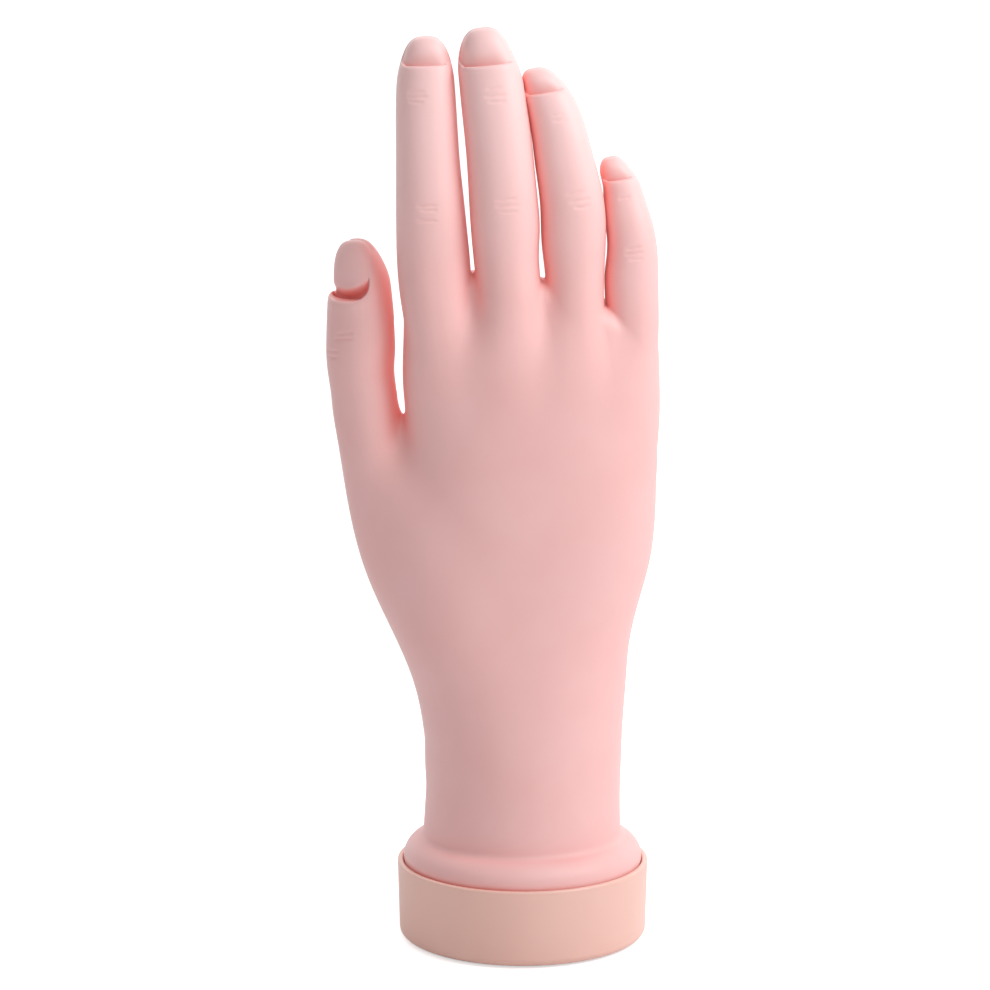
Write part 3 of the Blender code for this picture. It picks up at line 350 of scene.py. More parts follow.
# Cup of the base, with its boss, the room round the pieces in it, and the radii of its edges
CUP_TAPER = 0.5 * MM
CUP_WALL = 1.5 * MM
CUP_FLOOR = 3.5 * MM
CUP_CORNER = 1.9 * MM
RIM_EDGE = 0.55 * MM
BOSS_RADIUS = 9.0 * MM
BOSS_RISE = 3.0 * MM
SHANK_RADIUS = 2.0 * MM
GAP = 0.3 * MM
SMALL_EDGE = 0.12 * MM
EDGE_HOLD = 0.05 * MM
CUP_SIDES = 256

# Painted red shade of the hollows between soft parts, standing in for light that the vinyl scatters
# and that the parts throw on each other: how far away a surface may be to redden them, the rays that
# look for it, and the strength of their painted glow
PAINTED_SHADE_REACH = 18.0 * MM
PAINTED_SHADE_RAYS = 12
PAINTED_GLOW = 0.07

# Shares of the skin's painted light, each from two readings to two shares: a painted highlight, lighter
# with the height toward the tips, then painted red shade with how open the sky is, with the sideways
# slope away from the key light and with the place across, past which the index finger shades the thumb
PAINTED_LIGHT_SHARES = (
    (165.0 * MM, 205.0 * MM, 0.0, 1.0),
    (0.96, 0.08, 0.0, 0.70),
    (0.5, -0.2, 0.3, 1.0),
    (-25.0 * MM, -31.0 * MM, 0.0, 1.0),
)

# Colours of the painted highlight on the finger tips and of the painted red shade in the hollows, as
# sRGB hex codes, and the surroundings' white and card
PAINTED_TIP_LIGHT_COLOUR = "FBCFCD"
PAINTED_SHADE_COLOUR = "FF8579"
WHITE = (1.0, 1.0, 1.0, 1.0)
CARD = (0.9, 0.9, 0.9, 1.0)
SKIN_FINISH = "Soft plasticised vinyl"

# Finishes of the inner parts: name, lighter and darker colour, the noise's features in a metre, the
# grain's height, the shader's own values, and the endings of the names of the nodes that have it.
# Nylon and acetal come satin from their moulds, the steel is plated to a soft shine, and the foam
# rubber is cut from an open, matt sheet.
INNER_FINISHES = (
    (
        "Injection moulded nylon", "E9E6DC", "E2DED2", 80.0, 0.02 * MM,
        {"Roughness": 0.5}, ("_bone", "palm_frame"),
    ),
    (
        "Injection moulded acetal", "D9D6CE", "D2CFC6", 80.0, 0.02 * MM,
        {"Roughness": 0.4}, ("wrist_plug",),
    ),
    (
        "Zinc plated steel", "C9CBCE", "BFC2C6", 300.0, 0.01 * MM,
        {"Roughness": 0.3, "Metallic": 1.0}, ("pivot_screw", "pivot_washer", "_pin"),
    ),
    (
        "Die cut foam rubber", "D8D3CE", "C9C4BF", 900.0, 0.1 * MM,
        {"Roughness": 0.85}, ("foot_pad",),
    ),
)

# Noise of the materials: how far along its range the darker and the lighter colour lie, how much
# finer the grain is than the clouds of colour, how many octaves both have, and how strongly the
# grain shows
CLOUD_SPAN = (0.25, 0.70)
CLOUD_DETAIL = 3.0
GRAIN_RATIO = 14.0
GRAIN_DETAIL = 2.0
GRAIN_STRENGTH = 0.4

# Room round a piece in its grid, and how many times its points are evened out
GRID_MARGIN = 2.0 * MM
ROOT_MARGIN = 1.0 * MM
SIDE_MARGIN = 2.5 * MM
PALM_ROUNDS = 4
DIGIT_ROUNDS = 3

# Search for a skin: how much coarser the first grid is, how many of its cells lie near the skin,
# the reaches of the readings for a slope, the least squared slopes that a step onto the skin divides
# by, the steps at a cut, and the least values that keep powers and divisions away from 0
GRID_RATIO = 4
NEAR_CELLS = 2.5
SLOPE_REACH = 0.1 * MM
SHADE_REACH = 0.12 * MM
LEAST_SLOPE = 0.01
LEAST_CUT_SLOPE = 0.05
CUT_ROUNDS = 4
LEAST_SIZE = 1e-12
LEAST_WHOLE = 1e-9
LEAST_GROWTH = 1e-6

# Rolled bead at the foot of the wrist
BEAD_RADIUS = 30.15 * MM
BEAD_WIDTH = 13.0 * MM
BEAD_HEIGHT = 11.2 * MM
BEAD_MIDDLE = 20.6 * MM
BEAD_SQUARENESS = 2.1
BEAD_CREASE = 1.7 * MM
BEAD_FOOT = SKIN_LOW[2] + 0.2 * MM


def smooth_step(part):
    """Rises from 0 to 1 with level ends."""
    part = np.clip(part, 0.0, 1.0)
    return part * part * (3.0 - 2.0 * part)


def smooth_min(first, second, fillet):
    """The lesser of two distances, rounded where they are within a fillet of each other."""
    near = np.maximum(fillet - np.abs(first - second), 0.0) / fillet
    return np.minimum(first, second) - near * near * fillet / 4.0


def smooth_max(first, second, fillet):
    """The greater of two distances, rounded where they are within a fillet of each other."""
    return -smooth_min(-first, -second, fillet)


class Stations:
    """A cubic curve through rows of stations, whose slope and bend run on through each row."""

    def __init__(self, rows):
        rows = np.array(rows, dtype=float)
        self.at, self.values = rows[:, 0], rows[:, 1:]
        steps = np.diff(self.at)
        inner = np.arange(1, len(self.at) - 1)
        matrix = np.eye(len(self.at))
        matrix[inner, inner - 1] = steps[:-1]
        matrix[inner, inner] = 2.0 * (steps[:-1] + steps[1:])
        matrix[inner, inner + 1] = steps[1:]
        right = np.zeros_like(self.values)
        right[inner] = 6.0 * np.diff(np.diff(self.values, axis=0) / steps[:, None], axis=0)
        self.bends = np.linalg.solve(matrix, right)

    def read(self, at):
        """The stations' values at places along the curve, one row for each place."""
        at = np.clip(at, self.at[0], self.at[-1])
        low = np.clip(np.searchsorted(self.at, at) - 1, 0, len(self.at) - 2)
        step = self.at[low + 1] - self.at[low]
        after = ((at - self.at[low]) / step)[:, None]
        before = 1.0 - after
        bend = (before**3 - before) * self.bends[low] + (after**3 - after) * self.bends[low + 1]
        straight = before * self.values[low] + after * self.values[low + 1]
        return straight + bend * (step * step)[:, None] / 6.0


def section_size(across, inward, wide, deep, squareness):
    """The size of a section at points, which is 1 on its rim, and how fast it grows there.

    The section is a superellipse, |x / wide| to a power plus |y / deep| to that power equal to 1.
    """
    right, front = np.abs(across / wide), np.abs(inward / deep)
    size = (right**squareness + front**squareness + LEAST_SIZE) ** (1.0 / squareness)
    slope = size ** (1.0 - squareness)
    power = squareness - 1.0
    return size, np.hypot(slope * right**power / wide, slope * front**power / deep)


def section_distance(across, inward, wide, deep, squareness):
    """About how far points lie from a section's rim, less than 0 inside it: size over growth."""
    size, growth = section_size(across, inward, wide, deep, squareness)
    return (size - 1.0) / np.maximum(growth, LEAST_GROWTH)


def domed_distance(across, inward, rise, reach, wide, deep):
    """section_distance for a digit with a domed end, which starts where the rise is 0.

    The section's size to one power plus the rise to another is 1 on the dome.
    """
    size, growth = section_size(across, inward, wide, deep, DIGIT_SQUARENESS)
    rise = np.maximum(rise, 0.0)
    whole = size**DOME_FULLNESS + rise**DOME_ROUNDNESS + LEAST_WHOLE
    climb = DOME_ROUNDNESS / DOME_FULLNESS * rise ** (DOME_ROUNDNESS - 1.0) / reach
    slope = whole ** (1.0 / DOME_FULLNESS - 1.0) * np.hypot(size ** (DOME_FULLNESS - 1.0) * growth, climb)
    return (whole ** (1.0 / DOME_FULLNESS) - 1.0) / np.maximum(slope, LEAST_GROWTH)


class Digit:
    """A finger or the thumb: its own axes, its sections and its hinges, read from the frame."""

    def __init__(self, name):
        self.name = name
        self.parts = ("near", "tip") if name == "thumb" else ("near", "mid", "tip")
        hinges = [HINGES[f"{name}_{part}_bend"] for part in self.parts]
        self.length, self.width, self.depth, self.seam, self.nail = DIGIT_SIZES[name]
        self.root = np.array(hinges[0]["pos_m"])
        self.along = np.array(MOUNTS[f"{name}_nail_slot"]["axis"])
        side = np.cross((0.0, 1.0, 0.0), self.along)
        side = side / np.linalg.norm(side)
        self.axes = np.stack((side, np.cross(self.along, side), self.along))
        self.hinges = [float((np.array(hinge["pos_m"]) - self.root) @ self.along) for hinge in hinges]
        self.bends = [math.radians(hinge["range_deg"][1]) for hinge in hinges]
        self.lip = LIP_SHARES[name] * self.length
        self.turn = THUMB_TURN if name == "thumb" else 0.0
        self.curl, self.moat, self.shift, self.lean, self.corner, self.wrap = NAIL_SHAPES[name]
        sizes = (self.length, self.length, self.length, self.width / 2, self.depth / 2)
        self.stations = Stations(np.array(DIGIT_SHARES[name]) * np.array(sizes))

    def twist(self, along):
        """The turn of a section about the digit: the thumb's nail faces away from the fingers."""
        return self.turn * smooth_step((along + THUMB_TURN_REACH) / THUMB_TURN_REACH)

    def sections(self, points):
        """Points in the digit's sections: across, to the palm and along, then half width and depth."""
        local = (points - self.root) @ self.axes.T
        side, inward, wide, deep = self.stations.read(local[:, 2]).T
        turn = self.twist(local[:, 2])
        away, within = local[:, 0] - side, local[:, 1] - inward
        across = away * np.cos(turn) - within * np.sin(turn)
        within = away * np.sin(turn) + within * np.cos(turn)
        return across, within, local[:, 2], wide, deep

    def distance(self, points):
        """About how far points lie from the digit's plain skin, without a tip or any relief."""
        across, within, along, wide, deep = self.sections(points)
        skin = section_distance(across, within, wide, deep, DIGIT_SQUARENESS)
        return smooth_max(skin, self.stations.at[0] - along, self.depth / 4)

    def tip_distance(self, points):
        """About how far points lie from the digit's skin, with its creases, dome and nail place.

        The nail place is a window cut through the skin at the lip, over a bed that lies lower, and
        a pocket runs on between the two, under the lip.
        """
        across, within, along, wide, deep = self.sections(points)
        dome = self.width * DOME_SHARE
        rise = (along - self.length + dome) / dome
        skin = domed_distance(across, within, rise, dome, wide, deep)
        skin = skin + self.relief(across, within, along, deep)
        lip = self.lip + self.curl * (across / self.nail) ** 2
        swell = np.exp(-(((along - lip + LIP_SWELL_BACK) / LIP_SWELL_REACH) ** 2))
        skin = skin - LIP_SWELL * swell * smooth_step(-within / deep)
        off = (across - self.shift) / self.nail
        past = (along - lip - MOAT_START - MOAT_CURL * off * off) / MOAT_REACH
        fade = 1.0 - BED_FADE * smooth_step((along - self.lip) / (self.length - self.lip) / BED_FADE_END)
        drop = BED_DROP * fade * (1.0 - BED_RISE * smooth_step(off))
        low = 1.0 - drop - self.moat * (1.0 - smooth_step(past))
        wide = np.where(across < 0.0, wide * (1.0 - self.lean * fade), wide)
        bed = domed_distance(across, within, rise, dome, wide, np.where(within < 0.0, deep * low, deep))
        bed = bed + LIP_ROUNDING * smooth_step(within / deep + 0.5)
        beside = self.nail - np.abs(across - self.shift)
        window = smooth_min(along - lip, beside, self.corner)
        around = self.wrap * smooth_step(-across / deep) - within
        window = smooth_min(window, around, LIP_ROUNDING)
        hood = smooth_max(skin, window, LIP_ROUNDING)
        pocket = smooth_min(beside - POCKET_INSET, along - lip + POCKET_DEPTH, LIP_ROUNDING)
        pocket = smooth_min(pocket, POCKET_GAP - bed, LIP_ROUNDING)
        pocket = smooth_min(pocket, smooth_min(-within, -skin - LIP_THICKNESS, LIP_ROUNDING), LIP_ROUNDING)
        hood = smooth_max(hood, pocket, POCKET_ROUNDING)
        return smooth_min(hood, bed, POCKET_ROUNDING)

    def relief(self, across, within, along, deep):
        """How far the skin lies in at its creases, and out at its pads, which are below 0.

        Short strokes lie across the back of each joint, deeper creases across its palm side, and
        the skin between them swells to the palm.
        """
        back, front = smooth_step(-within / deep), smooth_step(within / deep)
        first, full = CREASE_SPAN
        palm_side = smooth_step((within / deep - first) / (full - first))
        depth = np.zeros_like(along)
        for place, aside, half, slant, deepness in STROKES[self.name]:
            line = along - place * MM - slant * (across - aside * MM)
            ends = smooth_step(STROKE_END - np.abs(across - aside * MM) / (half * MM))
            depth += deepness * MM * back * ends * np.exp(-((line / STROKE_WIDTH) ** 2))
        for hinge in self.hinges:
            for below in (0.0,) if hinge == self.hinges[-1] else (0.0, CREASE_STEP):
                line = along - hinge + below - CREASE_BOW * (across / deep) ** 2
                depth += CREASE_DEPTH * palm_side * np.exp(-((line / CREASE_WIDTH) ** 2))
        marks = np.array(self.hinges + [self.length + deep[0] / 2])
        for low, high in zip(marks[:-1], marks[1:]):
            swell = np.sin(np.pi * np.clip((along - low) / (high - low), 0.0, 1.0)) ** 2
            depth -= PAD_HEIGHT * front * swell
        return depth

    def zones(self):
        """Where the skin bends at each hinge: the first and last place along, from root to tip.

        A zone is ZONE_SHARE times the arc that its outer skin turns through, so that the palm side
        gathers without folding over itself.
        """
        found = []
        for hinge, bend in zip(self.hinges, self.bends):
            deep = float(self.stations.read(np.array([hinge]))[0, 3])
            half = ZONE_SHARE / 2 * bend * deep
            start = -self.seam if not found else hinge - half
            found.append((start, start + 2.0 * half))
        return found


DIGITS = {name: Digit(name) for name in DIGIT_SIZES}
PALM = Stations(np.array(PALM_SHARES) * ((PALM_TOP,) + (KNUCKLE_WIDTH,) * 2 + (PALM_DEPTH,) * 3 + (1.0,)))
WEBS = Stations(np.array(WEB_SHARES) * PALM_TOP)


def palm_distance(points):
    """About how far points lie from the plain palm and wrist, under the webs."""
    left, right, back, front, arch, squareness = PALM.read(points[:, 2]).T
    wide, deep = (left + right) / 2, (back + front) / 2
    across = points[:, 0] - (right - left) / 2
    inward = points[:, 1] - (front - back) / 2 - arch * (across / wide) ** 2
    return section_distance(across, inward, wide, deep, squareness)


def bead_distance(points):
    """About how far points lie from the bead: a superellipse carried round the wrist."""
    out = np.hypot(points[:, 0], points[:, 1]) - BEAD_RADIUS + BEAD_WIDTH / 2
    up = points[:, 2] - BEAD_MIDDLE
    return section_distance(out, up, BEAD_WIDTH / 2, BEAD_HEIGHT / 2, BEAD_SQUARENESS)


def hand_distance(points):
    """About how far points lie from the skin of the palm, with the roots of the digits in it.

    The palm, the digits and the bead are joined by rounded minima, whose fillets grow from the
    narrow webs down to the knuckles, and below the thumb's web down along the thumb's base.
    """
    height = points[:, 2]
    web = WEBS.read(points[:, 0])[:, 0]
    skin = smooth_max(palm_distance(points), height - web, WEB_ROUNDING)
    fillet = SEAM_FILLET + WEB_FILLET * smooth_step(0.5 + (web - height) / WEB_FADE)
    fillet = fillet + KNUCKLE_FILLET * smooth_step((web - height) / KNUCKLE_FADE)
    for name, digit in DIGITS.items():
        near = height > digit.root[2] + digit.stations.at[0] - digit.depth
        if name == "thumb":
            fillet = WEB_FILLET + THUMB_FILLET * smooth_step((THUMB_WEB_HEIGHT - height) / THUMB_FADE)
        over = (points[near] - digit.root) @ digit.along + digit.seam - CUT_MARGIN
        stub = np.maximum(digit.distance(points[near]), over)
        skin[near] = smooth_min(skin[near], stub, fillet[near])
    low = height < BEAD_MIDDLE + BEAD_HEIGHT
    skin[low] = smooth_min(skin[low], bead_distance(points[low]), BEAD_CREASE)
    return skin


def with_slope(distance, points, reach):
    """A distance field and its slope at points, from four readings about each point."""
    corners = np.array(((1, -1, -1), (-1, -1, 1), (-1, 1, -1), (1, 1, 1)), dtype=float)
    readings = [distance(points + corner * reach) for corner in corners]
    slope = sum(np.outer(reading, corner) for reading, corner in zip(readings, corners))
    return sum(readings) / 4.0, slope / (4.0 * reach)


def grid_points(low, step, shape):
    """The points of a grid, in rows."""
    sides = [low[axis] + step * np.arange(shape[axis]) for axis in range(3)]
    return np.stack(np.meshgrid(*sides, indexing="ij"), axis=-1).reshape(-1, 3)


def skin_grid(distance, low, high, step):
    """Distances on a fine grid, read only near the skin that a coarser grid finds."""
    coarse = step * GRID_RATIO
    shape = np.ceil((high - low) / coarse).astype(int) + 1
    rough = distance(grid_points(low + (coarse - step) / 2, coarse, shape)).reshape(shape)
    for axis in range(3):
        rough = np.repeat(rough, GRID_RATIO, axis=axis)
    values = rough.ravel()
    places = np.flatnonzero(np.abs(values) < NEAR_CELLS * coarse)
    fine = np.stack(np.unravel_index(places, rough.shape), axis=-1)
    values[places] = distance(low + fine * step)
    return values.reshape(rough.shape)


def surface_net(values, low, step):
    """The skin where a grid of distances changes sign, as points and quads.

    Each cell that the skin crosses has a point, the mean of the crossings on its edges, and each
    crossed edge has a quad through its four cells.
    """
    inside = values < 0.0
    cells, crossings = [], []
    for axis in range(3):
        second, third = (axis + 1) % 3, (axis + 2) % 3
        head = [slice(1, -1)] * 3
        tail = [slice(1, -1)] * 3
        head[axis], tail[axis] = slice(None, -1), slice(1, None)
        head, tail = tuple(head), tuple(tail)
        crossed = inside[head] != inside[tail]
        at = np.stack(np.nonzero(crossed), axis=-1)
        at[:, [second, third]] += 1
        start, stop = values[head][crossed], values[tail][crossed]
        point = at.astype(float)
        point[:, axis] += start / (start - stop)
        around = []
        for back, down in ((1, 1), (0, 1), (0, 0), (1, 0)):
            cell = at.copy()
            cell[:, second] -= back
            cell[:, third] -= down
            around.append(np.ravel_multi_index(tuple(cell.T), inside.shape))
        around = np.stack(around, axis=-1)
        outward = inside[head][crossed]
        cells.append(np.where(outward[:, None], around, around[:, ::-1]))
        crossings.append(point)
    cells = np.concatenate(cells)
    crossings = np.repeat(np.concatenate(crossings), 4, axis=0)
    quads = np.unique(cells.ravel(), return_inverse=True)[1]
    count = np.bincount(quads.ravel())
    points = [np.bincount(quads.ravel(), crossings[:, axis]) / count for axis in range(3)]
    return low + np.stack(points, axis=-1) * step, quads.reshape(-1, 4)


def onto_skin(points, distance, reach, least, normal=None):
    """Points moved onto the skin along its slope, and within a plane where one is given."""
    value, slope = with_slope(distance, points, reach)
    if normal is not None:
        slope = slope - np.outer(slope @ normal, normal)
    return points - slope * (value / np.maximum((slope * slope).sum(axis=1), least))[:, None]


def settled(points, quads, distance, step, rounds):
    """Points evened out over their neighbours and moved onto the skin, a few times over."""
    starts, ends = quads.ravel(), np.roll(quads, -1, axis=1).ravel()
    size = len(points)
    count = np.bincount(starts, minlength=size) + np.bincount(ends, minlength=size)
    for _ in range(rounds):
        around = [
            np.bincount(starts, points[ends, axis], size) + np.bincount(ends, points[starts, axis], size)
            for axis in range(3)
        ]
        points = (points + np.stack(around, axis=-1) / count[:, None]) / 2.0
        points = onto_skin(points, distance, step / 4, LEAST_SLOPE)
    return points


def without_beyond(points, quads, beyond, place, normal, distance):
    """The skin cut off flat at a plane, with a flat face of triangles that closes it.

    Quads wholly beyond the plane go. The points beyond it that are left are moved onto it, and
    then within it onto the skin.
    """
    height = (points - place) @ normal
    over = beyond & (height > 0.0)
    quads = quads[~over[quads].all(axis=1)]
    rim = np.zeros(len(points), dtype=bool)
    rim[quads.ravel()] = True
    rim = np.flatnonzero(rim & over)
    moved = points[rim] - np.outer(height[rim], normal)
    for _ in range(CUT_ROUNDS):
        moved = onto_skin(moved, distance, SLOPE_REACH, LEAST_CUT_SLOPE, normal)
    points = points.copy()
    points[rim] = moved
    starts, ends = quads.ravel(), np.roll(quads, -1, axis=1).ravel()
    keys, backs = starts * len(points) + ends, ends * len(points) + starts
    open_edge = ~np.isin(keys, backs) & over[starts] & over[ends]
    middle = np.full(open_edge.sum(), len(points))
    points = np.vstack((points, moved.mean(axis=0)))
    cap = np.stack((ends[open_edge], starts[open_edge], middle), axis=-1)
    return points, quads, cap


def placed(name, data):
    """A new object of some data, in the scene."""
    made = bpy.data.objects.new(name, data)
    bpy.context.scene.collection.objects.link(made)
    return made


def skin_object(name, points, quads, caps, distance):
    """An object of the skin's quads and caps, shaded by the slope of its distance field."""
    triangles = np.concatenate(caps)
    corners = np.concatenate((quads.ravel(), triangles.ravel()))
    used, corners = np.unique(corners, return_inverse=True)
    points = points[used]
    starts = np.concatenate((np.arange(len(quads)) * 4, len(quads) * 4 + np.arange(len(triangles)) * 3))
    mesh = bpy.data.meshes.new(name)
    mesh.vertices.add(len(points))
    mesh.vertices.foreach_set("co", points.astype(np.float32).ravel())
    mesh.loops.add(len(corners))
    mesh.loops.foreach_set("vertex_index", corners.astype(np.int32).ravel())
    mesh.polygons.add(len(starts))
    mesh.polygons.foreach_set("loop_start", starts.astype(np.int32))
    mesh.update(calc_edges=True)
    mesh.validate()
    slope = with_slope(distance, points, SHADE_REACH)[1]
    mesh.shade_smooth()
    mesh.normals_split_custom_set_from_vertices(slope / np.linalg.norm(slope, axis=1)[:, None])
    return placed(name, mesh)


def skin_piece(name, distance, box, step, rounds, cuts, owned=None):
    """A piece of skin inside a box, cut off flat at planes.

    Each cut is a plane's place and normal. What owned says of the points is, for each cut, which of
    them it may take. Without it each cut may take them all.
    """
    low, high = box
    points, quads = surface_net(skin_grid(distance, low, high, step), low, step)
    points = settled(points, quads, distance, step, rounds)
    allowed = owned(points) if owned else [np.ones(len(points), dtype=bool)] * len(cuts)
    caps = []
    for (place, normal), mine in zip(cuts, allowed):
        mine = np.concatenate((mine, np.zeros(len(points) - len(mine), dtype=bool)))
        points, quads, cap = without_beyond(points, quads, mine, place, normal, distance)
        caps.append(cap)
    return skin_object(name, points, quads, caps, distance)


def palm_owned(points):
    """Which points each root's cut may take, those nearest to its digit, and the foot's cut, all.

    Those of the thumb that lie nearer to the plain palm are the palm's own.
    """
    apart = np.array([digit.distance(points) for digit in DIGITS.values()])
    own = np.argmin(apart, axis=0)
    own[(own == list(DIGITS).index("thumb")) & (palm_distance(points) < apart.min(axis=0))] = -1
    return [own == number for number in range(len(DIGITS))] + [np.ones(len(points), dtype=bool)]


def palm_piece(step):
    """The skin of the palm, thumb base, wrist and bead, cut flat at the root of each digit."""
    low = np.array((SKIN_LOW[0], -BEAD_RADIUS, BEAD_FOOT)) - GRID_MARGIN
    high = np.array((SKIN_HIGH[0], BEAD_RADIUS, 0.0)) + GRID_MARGIN
    high[2] = DIGITS["middle"].root[2] + ROOT_MARGIN
    cuts = [(digit.root - digit.seam * digit.along, digit.along) for digit in DIGITS.values()]
    cuts.append((np.array((0.0, 0.0, BEAD_FOOT)), np.array((0.0, 0.0, -1.0))))
    return skin_piece("palm", hand_distance, (low, high), step, PALM_ROUNDS, cuts, palm_owned)


def digit_piece(digit, part, start, end, step):
    """One length of a digit's skin, between two flat cuts, or up to the tip when end is None."""
    reach = digit.length + GRID_MARGIN if end is None else end + 2.0 * step
    half = digit.width / 2 + SIDE_MARGIN
    corners = np.array(list(product((-half, half), (-half, half), (start - 2.0 * step, reach))))
    corners = digit.root + corners @ digit.axes
    box = corners.min(axis=0), corners.max(axis=0)
    cuts = [(digit.root + start * digit.along, -digit.along)]
    if end is not None:
        cuts.append((digit.root + end * digit.along, digit.along))
    return skin_piece(f"{digit.name}_{part}", digit.tip_distance, box, step, DIGIT_ROUNDS, cuts)


def turned_piece(name, loop, sides):
    """A closed turned piece: a loop of radius and height, carried round the Z axis.

    A place is (radius cos turn, radius sin turn, height).
    """
    radius, height = np.array(loop).T
    turn = np.arange(sides) * 2.0 * math.pi / sides
    across, deep = np.outer(radius, np.cos(turn)), np.outer(radius, np.sin(turn))
    points = np.stack((across, deep, np.repeat(height[:, None], sides, axis=1)), axis=-1).reshape(-1, 3)
    row, column = np.divmod(np.arange(len(radius) * sides), sides)
    row_after, column_after = (row + 1) % len(radius), (column + 1) % sides
    quads = np.stack(
        (
            row * sides + column,
            row * sides + column_after,
            row_after * sides + column_after,
            row_after * sides + column,
        ),
        axis=-1,
    )
    mesh = bpy.data.meshes.new(name)
    mesh.from_pydata(points, [], quads.tolist())
    mesh.shade_smooth()
    return placed(name, mesh)


def rounded(corners, steps=10):
    """A closed loop whose corners are rounded to their own radii, each as an arc of short steps.

    A short straight run is kept at both ends of each arc, so that the flats are shaded flat.
    """
    found = []
    places = [np.array(corner[:2]) for corner in corners]
    for number, (place, (_, _, radius)) in enumerate(zip(places, corners)):
        before, after = places[number - 1], places[(number + 1) % len(places)]
        back = (before - place) / np.linalg.norm(before - place)
        on = (after - place) / np.linalg.norm(after - place)
        half = math.acos(np.clip(back @ on, -1.0, 1.0)) / 2.0
        middle = place + (back + on) / np.linalg.norm(back + on) * radius / math.sin(half)
        start = place + back * radius / math.tan(half) - middle
        end = place + on * radius / math.tan(half) - middle
        sweep = math.pi - 2.0 * half
        found.append(middle + start + back * EDGE_HOLD)
        for part in np.linspace(0.0, 1.0, steps):
            arm = math.sin((1.0 - part) * sweep) * start + math.sin(part * sweep) * end
            found.append(middle + arm / math.sin(sweep))
        found.append(middle + end + on * EDGE_HOLD)
    return found


def colour_of(code):
    """A linear colour from an sRGB hex code."""
    parts = np.array([int(code[place : place + 2], 16) for place in (0, 2, 4)]) / 255.0
    linear = np.where(parts <= 0.04045, parts / 12.92, ((parts + 0.055) / 1.055) ** 2.4)
    return (*linear, 1.0)


def add_node(tree, kind, settings=None, links=None):
    """Adds a shader node, with values for its sockets or its own settings, and links into it.

    A socket goes by its name, or by its number where several share a name.
    """
    node = tree.nodes.new(kind)
    for key, value in (settings or {}).items():
        if isinstance(key, int) or key in node.inputs:
            node.inputs[key].default_value = value
        else:
            setattr(node, key, value)
    for key, source in (links or {}).items():
        tree.links.new(source, node.inputs[key])
    return node


def new_material(name):
    """An empty node material, with its tree and its output."""
    made = bpy.data.materials.new(name)
    made.use_nodes = True
    made.node_tree.nodes.clear()
    return made, made.node_tree, add_node(made.node_tree, "ShaderNodeOutputMaterial")


def plain_material(name, light, dark, scale, grain, surface, tint=None):
    """A moulded or turned material: two near colours mixed by noise, and a fine bumpy grain.

    Scale is the noise's features in a metre, grain is the bump's height and surface holds the
    shader's own values. Tint paints light and shade into the colour and gives the links that it adds
    to the shader.
    """
    made, tree, output = new_material(name)
    place = add_node(tree, "ShaderNodeTexCoord").outputs["Object"]
    at = {"Vector": place}
    noise = {"Scale": scale, "Detail": CLOUD_DETAIL}
    cloud = add_node(tree, "ShaderNodeTexNoise", noise, at)
    ramp = add_node(tree, "ShaderNodeValToRGB", {}, {"Fac": cloud.outputs["Fac"]})
    for element, code, share in zip(ramp.color_ramp.elements, (dark, light), CLOUD_SPAN):
        element.color = colour_of(code)
        element.position = share
    noise = {"Scale": scale * GRAIN_RATIO, "Detail": GRAIN_DETAIL}
    fine = add_node(tree, "ShaderNodeTexNoise", noise, at)
    relief = {"Strength": GRAIN_STRENGTH, "Distance": grain}
    bump = add_node(tree, "ShaderNodeBump", relief, {"Height": fine.outputs["Fac"]})
    links = {"Base Color": ramp.outputs["Color"], "Normal": bump.outputs["Normal"]}
    if tint:
        links.update(tint(tree, place, ramp.outputs["Color"]))
    shader = add_node(tree, "ShaderNodeBsdfPrincipled", surface, links)
    tree.links.new(shader.outputs["BSDF"], output.inputs["Surface"])
    return made


